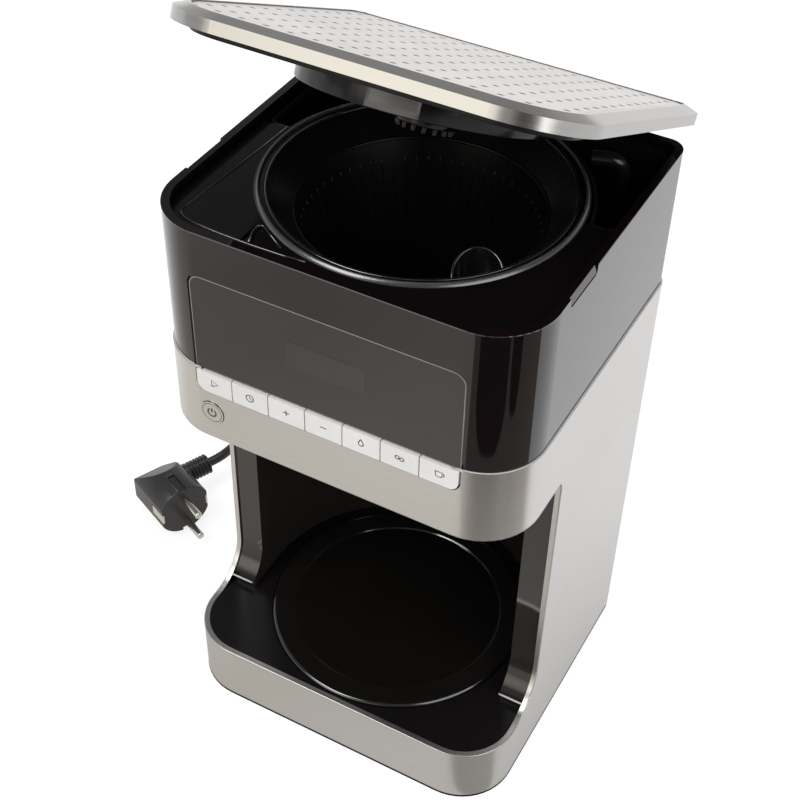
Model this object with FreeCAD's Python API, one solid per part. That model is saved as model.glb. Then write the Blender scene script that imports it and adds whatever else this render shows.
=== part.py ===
"""Drip coffee maker with its lid raised. Millimetres, +Z up, front towards -Y, origin under the middle."""
import FreeCAD, Part
import math
import os

V = FreeCAD.Vector

# Body
body_width = 200.0
body_depth = 183.0
front_corner_r = 31.4
back_corner_r = 10.0
sleeve_low_z = 2.0
base_top_z = 39.4
band_low_z = 213.5
split_z = 257.7
rim_z = 337.8

# Clearances
fit_gap = 0.2
run_gap = 0.3
pin_play = 0.05

# Hinge at the back of the rim
hinge_out = 10.5
hinge_rise = 0.5
knuckle_r = 4.0
knuckle_w = 10.0
hinge_side_room = 38.0
pin_r = 1.5
lug_drop = 16.0
lug_shoulder = 0.6

# Steel sleeve and the jug bay
sheet_t = 1.0
lip_w = 3.2
edge_r = 0.8
back_return = 5.0
bay_plate_gap = 20.0
bay_foot_r = 26.0
bay_top_r = 5.0

# Base pan and feet
pan_low_z = 1.5
pan_floor_t = 2.5
pan_wall_t = 2.0
pan_wall_h = 8.0
inner_back = 5.0
foot_r = 9.0
foot_stub_r = 3.0
foot_in = 28.0

# Base deck, hot plate and what holds it
deck_drop = 0.4
deck_t = 3.0
deck_back = 20.5
deck_rim = 0.9
ledge_w = 4.2
ledge_t = 1.4
boss_r = 4.0
boss_in = 20.0
boss_front = 42.0
boss_rear = 115.0
plate_gutter = 0.5
plate_t = 2.0
plate_flat_in = 12.0
plate_step_w = 3.0
plate_step_h = 0.6
bead_w = 3.6
bead_h = 0.4
seal_t = 0.6
seal_w = 3.3

# Heater under the plate
heater_in = 26.2
heater_w = 20.0
heater_h = 17.0
heater_leg = 35.0
water_bore_r = 4.0
water_bore_in = 4.6
rod_r = 3.1
rod_out = 5.0
rod_tail = 8.0
clamp_t = 2.4
clamp_half_w = 7.0
thermostat_r = 8.5
thermostat_h = 6.0
fuse_r = 2.2
fuse_l = 24.0
fuse_x = 20.0

# Screws
screw_r = 1.5
screw_head_r = 3.2
screw_head_h = 1.8
screw_l = 11.0

# Bay lining
pillar_w = 17.5
tank_room = 19.0
plate_wall_gap = 7.8
liner_t = 2.5
liner_foot_reach = 10.0
ceiling_t = 2.4
ceiling_hole_r = 10.0

# Rear cover
cover_t = 2.2
cover_rim = 1.0
cover_overlap = 4.5
cover_screw_in = 30.0
cover_screw_z = 20.0
post_half_w = 5.0
post_l = 12.0
post_h = 22.0

# Upper shell and display
shell_inset = 0.8
shell_t = 3.0
rim_w = 4.2
rim_h = 3.0
tongue_h = 10.0
notch_in = 1.5
notch_front = 42.0
notch_l = 29.0
notch_h = 5.4
notch_r = 2.5
window_side = 28.5
window_top_z = 313.2
window_r = 6.0
window_t = 2.0
window_ledge = 4.0
lcd_half_w = 22.0
lcd_mid_z = 287.5
lcd_half_h = 9.5
lcd_t = 5.0

# Buttons
button_count = 7
button_side = 28.6
button_low_z = 244.0
button_top_gap = 1.2
button_gap = 0.6
button_end_r = 5.0
button_proud = 0.4
button_t = 3.2
button_travel = 0.8
stem_r = 1.8
stem_l = 3.6
power_side = 35.9
power_z = 230.8
power_r = 5.4
power_ring_t = 0.95

# Control board
carrier_setback = 6.0
carrier_t = 2.0
carrier_side = 24.0
carrier_low_z = 220.0
carrier_top_z = 260.0
standoff_r = 2.5
standoff_in = 6.0
board_setback = 12.0
board_t = 1.6
board_side = 28.0
board_low_z = 222.0
board_top_z = 308.0
switch_half_w = 3.0
switch_h = 3.4
plunger_r = 1.6

# Top deck and basket
top_deck_drop = 5.3
top_deck_t = 2.5
top_deck_past = 9.3
collar_t = 2.5
collar_h = 14.5
collar_ledge_w = 4.0
slot_x = -46.0
slot_w = 8.0
slot_front = 12.0
slot_l = 15.0
slot_depth = 1.2
basket_front = 12.7
basket_in = 5.1
basket_gap = 0.6
basket_rise = 0.2
basket_lip_w = 2.8
basket_skirt_t = 2.4
cup_top_in = 16.4
cup_top_drop = 13.2
cup_taper = 23.0
cup_floor_z = 238.0
basket_t = 2.0

# Drip valve in the basket's outlet
spout_r = 9.0
spout_bore_r = 7.0
spout_low_z = 218.5
seat_t = 2.0
seat_r = 4.8
drip_hole_r = 5.0
valve_stem_r = 4.3
valve_head_r = 6.4
valve_head_t = 2.2
valve_seal_t = 1.2
valve_foot_r = 8.0
valve_foot_t = 2.5
valve_foot_drop = 9.0
valve_travel = 4.0
spring_r = 6.0
spring_wire = 1.2

# Water tank, hoses and riser
tank_side = 6.0
tank_back = 4.2
tank_corner_r = 6.0
tank_past = 11.3
tank_low_z = 52.0
tank_pocket_z = 232.0
tank_step_z = 252.0
tank_top_drop = 6.8
tank_wall = 1.6
tank_gap_low = 1.5
tank_gap_high = 0.7
hose_r = 5.0
hose_wall = 1.5
clip_t = 1.2
clip_w = 4.0
check_valve_r = 7.5
check_valve_back = 12.0
check_valve_low_z = 24.0
riser_r = 4.0
riser_wall = 1.0
riser_side = 26.0
riser_back = 19.5
riser_top_z = 330.0
riser_turn = 15.0
riser_hole_gap = 1.8

# Wire loom
loom_r = 2.5
loom_plate_gap = 7.0
loom_z = 10.0
loom_run = 28.0
loom_rise = 28.0
loom_board_in = 12.0

# Lid, measured closed and then turned open
lid_open = 26.0
lid_side_in = 0.1
lid_front_over = 2.2
lid_back_over = 10.5
lid_rise = 4.7
lid_front_r = 36.0
lid_back_r = 15.0
lid_face_h = 5.6
lid_bevel_w = 6.5
lid_bevel_h = 2.6
lid_frame_t = 1.0
panel_flange = 1.2
panel_t = 1.2
panel_sink = 0.6
liner_in = 9.0
liner_wall = 2.6
liner_plate_t = 2.2
liner_rim_gap = 1.6
pad_in = 9.0
pad_w = 6.0
arm_t = 3.4
skirt_in = 17.4
skirt_t = 2.0
skirt_forward = 8.0
skirt_drop = 9.3
shower_r = 15.0
shower_stem_r = 10.0
shower_drop = 21.8
shower_t = 5.0
shower_teeth = 16
tooth_r = 1.3
tooth_h = 3.0
channel_w = 14.0
channel_h = 6.0
lid_screw_in = 22.0

# Cord, plug and gland
cord_r = 3.1
gland_x = 40.0
gland_z = 10.0
gland_r = 5.0
gland_flange_r = 7.5
gland_flange_t = 1.4
gland_out = 22.0
gland_in = 8.0
gland_tip = 0.9
tail_run = 16.0
tail_dip = 25.0
coil_r = 40.0
coil_pitch = 7.2
coil_layer = 6.9
coil_in_turns = 1.0
coil_out_turns = 0.75
lead_first_run = 26.0
lead_last_run = 8.4
bend_share = 0.45
plug_x = -167.8
plug_y = -2.2
plug_turn = -24.2
plug_boss_r = 18.3
plug_boss_l = 16.0
plug_flat = 16.8
plug_depth = 37.0
plug_slope = 20.0
plug_back_half_h = 8.0
plug_side = 12.5
plug_back_side = 5.0
plug_groove_half_w = 2.6
plug_groove_d = 2.4
plug_back = 28.1
relief_r = 7.0
relief_start = 10.0
relief_smooth = 9.0
relief_ribs = 6
relief_rib = 2.5
relief_groove = 1.3
plug_pin_r = 2.4
plug_pin_l = 19.0
plug_pin_half = 9.5
earth_half_w = 3.5
earth_l = 13.0
earth_t = 1.2

# Places worked out from the sizes above
front_y = -(body_depth + hinge_out + knuckle_r - button_proud) / 2
back_y = front_y + body_depth
half_w = body_width / 2
liner_r_by_width = half_w - pillar_w
front_room = lip_w + fit_gap + deck_rim
liner_r_by_depth = (body_depth - tank_room - liner_t + plate_wall_gap - front_room) / 2
liner_r = min(liner_r_by_width, liner_r_by_depth)
recess_r = liner_r - plate_wall_gap
plate_r = recess_r - plate_gutter
plate_flat_r = plate_r - plate_flat_in
heater_mid_r = plate_r - heater_in
clamp_screw_x = recess_r
basket_r = liner_r - basket_in
collar_r = basket_r + basket_gap
cup_top_r = basket_r - cup_top_in
cup_low_r = cup_top_r - cup_taper
skirt_r = basket_r - skirt_in
plate_setback = front_room + recess_r
basket_setback = basket_front + collar_r + collar_t
bay_setback = plate_setback - bay_plate_gap
tank_front = basket_setback + tank_past
top_deck_rear = basket_setback + top_deck_past
tank_half_w = half_w - tank_side
riser_x = half_w - riser_side
loom_x = (liner_r + liner_t + half_w - lip_w) / 2
loom_y_setback = plate_setback - loom_plate_gap
hinge_half_span = half_w - hinge_side_room
cover_screw_x = half_w - cover_screw_in
window_half_w = half_w - window_side
button_row_half_w = half_w - button_side
power_x = power_side - half_w
carrier_half_w = half_w - carrier_side
board_half_w = half_w - board_side
hinge_y = back_y + hinge_out
hinge_z = rim_z + hinge_rise
bay_y = front_y + bay_setback
plate_y = front_y + plate_setback
basket_y = front_y + basket_setback
deck_z = base_top_z - deck_drop
deck_low_z = deck_z - deck_t
ledge_z = deck_low_z + ledge_t
plate_low_z = ledge_z + seal_t
plate_z = plate_low_z + plate_t
heater_z = plate_low_z - fit_gap
heater_low_z = heater_z - heater_h
heater_mid_z = heater_z - heater_h / 2
clamp_z = heater_low_z - fit_gap
water_r = heater_mid_r - water_bore_in
heater_end_y = plate_y + heater_leg
ceiling_z = band_low_z + sheet_t + fit_gap
top_deck_z = rim_z - top_deck_drop
basket_z = top_deck_z + basket_rise
button_top_z = split_z - button_top_gap
button_pitch = 2 * button_row_half_w / button_count
stem_back_y = front_y - button_proud + button_t + stem_l
seat_z = spout_low_z + seat_t
valve_foot_low_z = spout_low_z - valve_foot_drop
valve_head_z = seat_z + fit_gap / 2 + valve_seal_t
tank_top_z = rim_z - tank_top_drop
check_y = back_y - check_valve_back
riser_y = back_y - riser_back
lid_z = rim_z + lid_rise
lid_top_z = lid_z + lid_face_h + lid_bevel_h
lid_front_y = front_y - lid_front_over
lid_back_y = back_y + lid_back_over
lid_half_w = half_w - lid_side_in
panel_z = lid_top_z - panel_sink
liner_z = lid_z + lid_face_h - 2 * fit_gap - lid_frame_t / 2
liner_low_z = rim_z + liner_rim_gap
liner_under_z = liner_z - liner_plate_t
skirt_y = basket_y - skirt_forward
plug_z = plug_boss_r + fit_gap


def box(x0, x1, y0, y1, z0, z1):
    """Block between two corners."""
    return Part.makeBox(x1 - x0, y1 - y0, z1 - z0, V(x0, y0, z0))


def rod_x(y, z, r, x0, x1):
    """Round bar along X."""
    return Part.makeCylinder(r, x1 - x0, V(x0, y, z), V(1, 0, 0))


def rod_y(x, z, r, y0, y1):
    """Round bar along Y."""
    return Part.makeCylinder(r, y1 - y0, V(x, y0, z), V(0, 1, 0))


def rod_z(x, y, r, z0, z1):
    """Round bar along Z."""
    return Part.makeCylinder(r, z1 - z0, V(x, y, z0))


def fuse(shapes):
    """Shapes that touch, joined to one."""
    return shapes[0].multiFuse(shapes[1:]).removeSplitter()


def mirrored(shape):
    """The same shape on the other side of the middle plane."""
    return shape.mirror(V(0, 0, 0), V(1, 0, 0))


def both_sides(shape):
    """The shape and its mirror image."""
    return [shape, mirrored(shape)]


def corner_arc(before, corner, after, reach):
    """Arc tangent to both legs of a corner, starting and ending at the given reach from it."""
    inward = (before - corner).normalize()
    outward = (after - corner).normalize()
    half = inward.getAngle(outward) / 2
    r = reach * math.tan(half)
    middle = corner + (inward + outward).normalize() * (r / math.sin(half) - r)
    return Part.Arc(corner + inward * reach, middle, corner + outward * reach).toShape()


def outline(corners, place):
    """Closed wire through corners (a, b, radius), each rounded by its radius and set in space by place."""
    count = len(corners)
    flat = [V(a, b, 0) for a, b, r in corners]
    ends = []
    edges = []
    for i in range(count):
        inward = (flat[i - 1] - flat[i]).normalize()
        outward = (flat[(i + 1) % count] - flat[i]).normalize()
        reach = corners[i][2] / math.tan(inward.getAngle(outward) / 2)
        ends.append((place(flat[i] + inward * reach), place(flat[i] + outward * reach)))
        if reach > 0:
            edges.append(corner_arc(place(flat[i - 1]), place(flat[i]), place(flat[(i + 1) % count]), reach))
    for i in range(count):
        start = ends[i][1]
        end = ends[(i + 1) % count][0]
        if start.distanceToPoint(end) > edge_r / 1000:
            edges.append(Part.LineSegment(start, end).toShape())
    return Part.Wire(Part.__sortEdges__(edges))


def slab(corners, place, depth):
    """Rounded outline pushed along a vector."""
    return Part.Face(outline(corners, place)).extrude(depth)


def from_above(z):
    """Places (a, b) as X and Y at one height."""
    return lambda p: V(p.x, p.y, z)


def from_side(x):
    """Places (a, b) as Y and Z at one X."""
    return lambda p: V(x, p.x, p.y)


def from_front(y):
    """Places (a, b) as X and Z at one Y."""
    return lambda p: V(p.x, y, p.y)


def spin(corners, x, y):
    """Solid turned about a vertical axis from corners (radius, height, rounding)."""
    face = Part.Face(outline(corners, lambda p: V(x + p.x, y, p.y)))
    return face.revolve(V(x, y, 0), V(0, 0, 1), 360)


def ring(x, y, r_in, r_out, z0, z1):
    """Flat upright ring."""
    return rod_z(x, y, r_out, z0, z1).cut(rod_z(x, y, r_in, z0, z1))


def frame_corners(half, y0, y1, r_front, r_back):
    """Rectangle with its own rounding at the front and back."""
    return [(-half, y0, r_front), (half, y0, r_front), (half, y1, r_back), (-half, y1, r_back)]


def body_corners(inset):
    """Body outline, moved in from the outside."""
    y0 = front_y + inset
    y1 = back_y - inset
    return frame_corners(half_w - inset, y0, y1, front_corner_r - inset, back_corner_r - inset)


def body_block(inset, z0, z1):
    """Upright block on the body outline."""
    return slab(body_corners(inset), from_above(z0), V(0, 0, z1 - z0))


def body_ring(inset, wall, z0, z1):
    """Upright wall on the body outline."""
    return body_block(inset, z0, z1).cut(body_block(inset + wall, z0, z1))


def ahead_of(y, z0, z1):
    """Block that keeps everything in front of y."""
    return box(-body_width, body_width, front_y - body_depth, y, z0, z1)


def bay_corners(grow):
    """Side view of the jug bay, grown outwards."""
    y0 = front_y - body_depth / 2
    y1 = bay_y + grow
    z0 = base_top_z - grow
    z1 = band_low_z + grow
    return [(y0, z0, 0), (y1, z0, bay_foot_r + grow), (y1, z1, bay_top_r + grow), (y0, z1, 0)]


def bay_block(grow):
    """The jug bay as a block across the whole width."""
    return slab(bay_corners(grow), from_side(-body_width), V(2 * body_width, 0, 0))


def path_tube(points, r, report=""):
    """Tube along straight runs joined by arcs as large as the runs allow."""
    edges = []
    start = points[0]
    length = 0
    radii = []
    for i in range(1, len(points) - 1):
        before, here, after = points[i - 1], points[i], points[i + 1]
        turn = (here - before).getAngle(after - here)
        reach = bend_share * min(here.distanceToPoint(before), here.distanceToPoint(after))
        arc = corner_arc(before, here, after, reach)
        arc_start = here + (before - here).normalize() * reach
        edges += [Part.LineSegment(start, arc_start).toShape(), arc]
        start = here + (after - here).normalize() * reach
        radii.append(round(reach / math.tan(turn / 2), 1))
    edges.append(Part.LineSegment(start, points[-1]).toShape())
    length = sum(edge.Length for edge in edges)
    tube = sweep(edges, points[0], points[1] - points[0], r)
    if report:
        share = tube.Volume / (math.pi * r * r * length)
        print(report, "length", round(length, 1), "radii", radii, "volume share", round(share, 4))
    return tube


def sweep(edges, start, direction, r):
    """Round tube along joined edges."""
    profile = Part.Wire(Part.makeCircle(r, start, direction))
    return Part.Wire(edges).makePipeShell([profile], True, False)


def screw_z(x, y, z, up):
    """Screw with its head at z and its shank running up or down."""
    head = rod_z(x, y, screw_head_r, min(z, z + up * screw_head_h), max(z, z + up * screw_head_h))
    far = z + up * (screw_head_h + screw_l)
    near = z + up * screw_head_h
    return head.fuse(rod_z(x, y, screw_r, min(near, far), max(near, far)))


def at_corners(x, front, back):
    """Four places mirrored left and right."""
    return [(side * x, y) for y in (front, back) for side in (-1, 1)]


foot_places = at_corners(half_w - foot_in, front_y + foot_in, back_y - foot_in)
boss_places = at_corners(half_w - boss_in, front_y + boss_front, front_y + boss_rear)


def steel_sleeve():
    """Sheet wrapped round the front and sides, with the bay cut out and lips turned in round it."""
    sheet = body_ring(0, sheet_t, sleeve_low_z, split_z)
    lips = body_ring(0, lip_w, sleeve_low_z, split_z).common(bay_block(sheet_t))
    back_half = half_w - back_corner_r - back_return
    behind = box(-back_half, back_half, back_y - back_corner_r, back_y + 1, 0, rim_z)
    sleeve = sheet.fuse(lips).cut(bay_block(0)).cut(behind)
    sleeve = sleeve.cut(button_opening(button_gap)).cut(rod_y(power_x, power_z, ring_r() + fit_gap / 2,
                                                              front_y - lip_w, front_y + lip_w))
    bay_wire = outline(bay_corners(0), from_side(0))
    plan_wire = outline(body_corners(0), from_above(0))
    return sleeve.removeSplitter().makeFillet(edge_r, lip_edges(sleeve.removeSplitter(), bay_wire, plan_wire))


def lip_edges(shape, bay_wire, plan_wire):
    """Edges that lie both on the outside of the body and on the outline of the bay."""
    found = []
    for edge in shape.Edges:
        middle = edge.valueAt((edge.FirstParameter + edge.LastParameter) / 2)
        points = [vertex.Point for vertex in edge.Vertexes] + [middle]
        on_bay = max(Part.Vertex(V(0, p.y, p.z)).distToShape(bay_wire)[0] for p in points)
        on_plan = max(Part.Vertex(V(p.x, p.y, 0)).distToShape(plan_wire)[0] for p in points)
        if max(on_bay, on_plan) < edge_r / 100:
            found.append(edge)
    return found


def button_opening(gap):
    """Recess for the button row, open at the top edge of the sleeve."""
    half = button_row_half_w + gap
    low = button_low_z - gap
    end_r = button_end_r + gap
    top = split_z + shell_t
    corners = [(-half, low, end_r), (half, low, end_r), (half, top, 0), (-half, top, 0)]
    return slab(corners, from_front(front_y - lip_w), V(0, 2 * lip_w + shell_t, 0))


def ring_r():
    """Outer radius of the power button's ring."""
    return power_r + run_gap + power_ring_t


def base_pan():
    """Shallow tray that closes the base, with posts for the rear cover's screws."""
    inset = sheet_t + fit_gap
    floor_z = pan_low_z + pan_floor_t
    tray = body_block(inset, pan_low_z, floor_z + pan_wall_h)
    tray = tray.cut(body_block(inset + pan_wall_t, floor_z, floor_z + pan_wall_h))
    tray = tray.common(ahead_of(back_y - inner_back, 0, rim_z))
    post_y = back_y - inner_back
    for side in (-1, 1):
        x = side * cover_screw_x
        tray = tray.fuse(box(x - post_half_w, x + post_half_w, post_y - post_l, post_y, floor_z, floor_z + post_h))
        tray = tray.cut(rod_y(x, cover_screw_z, screw_r + pin_play, post_y - post_l, post_y))
    for x, y in foot_places:
        tray = tray.cut(rod_z(x, y, foot_stub_r + fit_gap / 2, 0, floor_z))
    for x, y in boss_places:
        tray = tray.cut(rod_z(x, y, screw_r + fit_gap, 0, floor_z))
        tray = tray.cut(rod_z(x, y, screw_head_r + fit_gap, 0, pan_low_z + screw_head_h))
    return tray.removeSplitter()


def feet():
    """Rubber feet, each with a stub through the pan."""
    top = pan_low_z + pan_floor_t
    return [rod_z(x, y, foot_r, 0, pan_low_z).fuse(rod_z(x, y, foot_stub_r, pan_low_z, top))
            for x, y in foot_places]


def base_screws():
    """Screws that hold the pan to the base deck."""
    return [screw_z(x, y, pan_low_z, 1) for x, y in boss_places]


def base_deck():
    """Top of the base with a round seat for the hot plate and bosses underneath."""
    front = body_block(lip_w + fit_gap, deck_low_z, deck_z)
    deck = front.common(ahead_of(back_y - deck_back, 0, rim_z))
    deck = deck.cut(rod_z(0, plate_y, recess_r - ledge_w, 0, rim_z))
    deck = deck.cut(rod_z(0, plate_y, recess_r, ledge_z, rim_z))
    floor_z = pan_low_z + pan_floor_t
    for x, y in boss_places:
        deck = deck.fuse(rod_z(x, y, boss_r, floor_z, deck_low_z))
        deck = deck.cut(rod_z(x, y, screw_r + pin_play, floor_z, floor_z + screw_l))
    for side in (-1, 1):
        x = side * clamp_screw_x
        deck = deck.fuse(rod_z(x, plate_y, boss_r, clamp_z, deck_low_z))
        deck = deck.cut(rod_z(x, plate_y, screw_r + pin_play, clamp_z, clamp_z + screw_l))
    deck = deck.cut(rod_z(riser_x, riser_y, hose_r + riser_hole_gap, 0, rim_z))
    deck = deck.cut(rod_z(loom_x, front_y + loom_y_setback, loom_r + fit_gap, 0, rim_z))
    return deck.removeSplitter()


def hot_plate():
    """Round plate, slightly dished, with a bead round its edge."""
    step_r = plate_flat_r + plate_step_w
    step_z = plate_z + plate_step_h
    bead_z = step_z + bead_h
    inner_bead = plate_r - bead_w
    corners = [(0, plate_low_z, 0), (plate_r, plate_low_z, 0), (plate_r, bead_z, bead_w / 3),
               (inner_bead + bead_h * 2, bead_z, bead_w / 4), (inner_bead, step_z, 0),
               (step_r, step_z, 0), (plate_flat_r, plate_z, 0), (0, plate_z, 0)]
    return spin(corners, 0, plate_y)


def plate_seal():
    """Ring between the hot plate's edge and its seat."""
    return ring(0, plate_y, plate_r - seal_w, plate_r, ledge_z, plate_low_z)


def u_bar(bend_r, r, leg):
    """Round bar bent in a U round the hot plate's axis, with its legs running back."""
    section = Part.Face(Part.Wire(Part.makeCircle(r, V(bend_r, plate_y, heater_mid_z), V(0, 1, 0))))
    bend = section.revolve(V(0, plate_y, 0), V(0, 0, 1), -180)
    legs = [rod_y(side * bend_r, heater_mid_z, r, plate_y, plate_y + leg) for side in (-1, 1)]
    return fuse([bend] + legs)


def heater_block():
    """U-shaped heater with one bore for water and one for the heating rod."""
    r_in = heater_mid_r - heater_w / 2
    r_out = heater_mid_r + heater_w / 2
    bend = ring(0, plate_y, r_in, r_out, heater_low_z, heater_z).common(ahead_of(plate_y, 0, rim_z))
    leg = box(r_in, r_out, plate_y, heater_end_y, heater_low_z, heater_z)
    block = fuse([bend] + both_sides(leg))
    block = block.cut(u_bar(water_r, water_bore_r, heater_leg))
    return block.cut(u_bar(heater_mid_r + rod_out, rod_r + pin_play, heater_leg))


def heating_rod():
    """Sheathed heating rod with both ends standing out of the block."""
    return u_bar(heater_mid_r + rod_out, rod_r, heater_leg + rod_tail)


def heater_clamp():
    """Strap that presses the heater against the hot plate."""
    reach = clamp_screw_x + boss_r
    strap = box(-reach, reach, plate_y - clamp_half_w, plate_y + clamp_half_w, clamp_z - clamp_t, clamp_z)
    holes = both_sides(rod_z(clamp_screw_x, plate_y, screw_r + fit_gap, 0, rim_z))
    return strap.cut(holes[0]).cut(holes[1])


def clamp_screws():
    """Screws of the heater strap."""
    head_z = clamp_z - clamp_t - screw_head_h
    return [screw_z(side * clamp_screw_x, plate_y, head_z, 1) for side in (-1, 1)]


def thermostat():
    """Round thermostat under the strap."""
    top = clamp_z - clamp_t
    return rod_z(0, plate_y, thermostat_r, top - thermostat_h, top)


def thermal_fuses():
    """Two thermal fuses lying along the strap."""
    z = clamp_z - clamp_t - fuse_r
    return both_sides(rod_x(plate_y, z, fuse_r, fuse_x, fuse_x + fuse_l))


def bay_liner():
    """Pillars beside the bay, with curved feet, and the round wall behind the jug."""
    top = ceiling_z - fit_gap
    flange_y = bay_y + sheet_t + fit_gap
    outer_x = half_w - sheet_t - fit_gap
    pillar = box(liner_r, outer_x, flange_y, flange_y + liner_t, deck_z, top)
    side_wall = box(liner_r, liner_r + liner_t, flange_y, plate_y, deck_z, top)
    foot_front = flange_y - liner_foot_reach
    foot = box(liner_r, half_w - lip_w - fit_gap, foot_front, flange_y + liner_t, deck_z, base_top_z + bay_foot_r)
    foot = foot.cut(bay_block(sheet_t + fit_gap))
    wall = ring(0, plate_y, liner_r, liner_r + liner_t, deck_z, top).cut(ahead_of(plate_y, 0, rim_z))
    return fuse([wall] + both_sides(pillar) + both_sides(side_wall) + both_sides(foot))


def bay_ceiling():
    """Plate over the bay with a hole for the drip valve."""
    top = ceiling_z + ceiling_t
    plate = body_block(sheet_t + fit_gap, ceiling_z, top)
    within = ahead_of(front_y + tank_front - tank_wall, 0, rim_z)
    within = within.fuse(rod_z(0, plate_y, liner_r + liner_t, 0, rim_z))
    plate = plate.common(within).cut(rod_z(0, plate_y, ceiling_hole_r, 0, rim_z))
    return plate.cut(rod_z(loom_x, front_y + loom_y_setback, loom_r + fit_gap, 0, rim_z))


def rear_cover():
    """Panel that closes the back of the sleeve, with an inner part that reaches behind its edges."""
    edge = half_w - back_corner_r - back_return
    face = box(-edge + fit_gap, edge - fit_gap, back_y - cover_rim, back_y, sleeve_low_z, split_z)
    inner = edge + cover_overlap
    inner_y = back_y - sheet_t - fit_gap
    top = split_z - tongue_h - fit_gap
    back = box(-inner, inner, inner_y - cover_t, inner_y, sleeve_low_z, top)
    core = box(-edge + fit_gap, edge - fit_gap, inner_y, back_y - cover_rim, sleeve_low_z, top)
    cover = fuse([face, core, back])
    for side in (-1, 1):
        x = side * cover_screw_x
        cover = cover.cut(rod_y(x, cover_screw_z, screw_r + fit_gap, back_y - inner_back, back_y))
        cover = cover.cut(rod_y(x, cover_screw_z, screw_head_r + fit_gap, back_y - screw_head_h, back_y))
    return cover.cut(rod_y(gland_x, gland_z, gland_r + fit_gap / 2, back_y - inner_back, back_y))


def cover_screws():
    """Screws of the rear cover."""
    near = back_y - screw_head_h
    return [rod_y(side * cover_screw_x, cover_screw_z, screw_head_r, near, back_y - fit_gap).fuse(
        rod_y(side * cover_screw_x, cover_screw_z, screw_r, near - screw_l, near)) for side in (-1, 1)]


def window_corners(inset):
    """Display window seen from the front."""
    half = window_half_w - inset
    top = window_top_z - inset
    r = window_r - inset
    low = split_z + fit_gap
    return [(-half, low, 0), (half, low, 0), (half, top, r), (-half, top, r)]


def hinge_lug():
    """Arm behind the rim with a knuckle for the hinge pin."""
    x0 = hinge_half_span + run_gap
    root_y = back_y - shell_inset - lug_shoulder
    top = rim_z - lug_shoulder
    corners = [(root_y, rim_z - lug_drop, 0), (hinge_y + knuckle_r * 0.75, hinge_z - knuckle_r * 0.66, 0),
               (hinge_y - knuckle_r + lug_shoulder, top, 0), (root_y, top, 0)]
    arm = slab(corners, from_side(x0), V(knuckle_w, 0, 0))
    knuckle = rod_x(hinge_y, hinge_z, knuckle_r, x0, x0 + knuckle_w)
    return arm.fuse(knuckle).cut(rod_x(hinge_y, hinge_z, pin_r + pin_play, x0, x0 + knuckle_w))


def rim_notch():
    """Finger notch in the outside of the rim."""
    y0 = front_y + notch_front
    low = rim_z - notch_h
    corners = [(y0, low, notch_r), (y0 + notch_l, low, notch_r), (y0 + notch_l, rim_z + 1, 0), (y0, rim_z + 1, 0)]
    return slab(corners, from_side(half_w - shell_inset - notch_in), V(notch_in + shell_inset + 1, 0, 0))


def upper_shell():
    """Shell round the brewing space, with the window opening, the rim and the hinge lugs."""
    low = split_z + fit_gap
    shell = body_ring(shell_inset, shell_t, low, rim_z)
    shell = shell.fuse(body_ring(shell_inset, rim_w, rim_z - rim_h, rim_z))
    tongue = body_ring(sheet_t + fit_gap, shell_inset + shell_t - sheet_t - fit_gap, split_z - tongue_h, low)
    shell = shell.fuse(tongue)
    front = front_y + shell_inset
    rebate = slab(window_corners(-fit_gap / 2), from_front(front - 1), V(0, window_t + fit_gap + 1, 0))
    through = slab(window_corners(window_ledge), from_front(front - 1), V(0, shell_t + 2, 0))
    shell = shell.cut(rebate).cut(through).cut(button_opening(2 * button_gap))
    for notch in both_sides(rim_notch()):
        shell = shell.cut(notch)
    return fuse([shell] + both_sides(hinge_lug()))


def display_window():
    """Dark window set flush in the shell."""
    y0 = front_y + shell_inset + fit_gap / 2
    return slab(window_corners(fit_gap / 2), from_front(y0), V(0, window_t, 0))


def display_module():
    """Liquid crystal unit standing on the control board behind the window."""
    y1 = front_y + board_setback
    return box(-lcd_half_w, lcd_half_w, y1 - lcd_t, y1, lcd_mid_z - lcd_half_h, lcd_mid_z + lcd_half_h)


def switch_places():
    """Middle of each button as X and Z, the power button last."""
    z = (button_low_z + button_top_z) / 2
    row = [(-button_row_half_w + (i + 0.5) * button_pitch, z) for i in range(button_count)]
    return row + [(power_x, power_z)]


def button_carrier():
    """Plate behind the buttons with guide holes and standoffs for the board."""
    y0 = front_y + carrier_setback
    y1 = y0 + carrier_t
    plate = box(-carrier_half_w, carrier_half_w, y0, y1, carrier_low_z, carrier_top_z)
    for x, z in switch_places():
        plate = plate.cut(rod_y(x, z, stem_r + run_gap, y0, y1))
    for x in (standoff_in - board_half_w, board_half_w - standoff_in):
        for z in (board_low_z + standoff_in / 2, carrier_top_z - standoff_in / 2):
            plate = plate.fuse(rod_y(x, z, standoff_r, y1, front_y + board_setback))
    return plate.removeSplitter()


def control_board():
    """Board that carries the display and the switches."""
    y0 = front_y + board_setback
    return box(-board_half_w, board_half_w, y0, y0 + board_t, board_low_z, board_top_z)


def tact_switches():
    """One small switch behind each button."""
    y1 = front_y + board_setback
    y0 = y1 - switch_h
    tip = stem_back_y + button_travel + fit_gap / 2
    return [box(x - switch_half_w, x + switch_half_w, y0, y1, z - switch_half_w, z + switch_half_w).fuse(
        rod_y(x, z, plunger_r, tip, y0)) for x, z in switch_places()]


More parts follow.
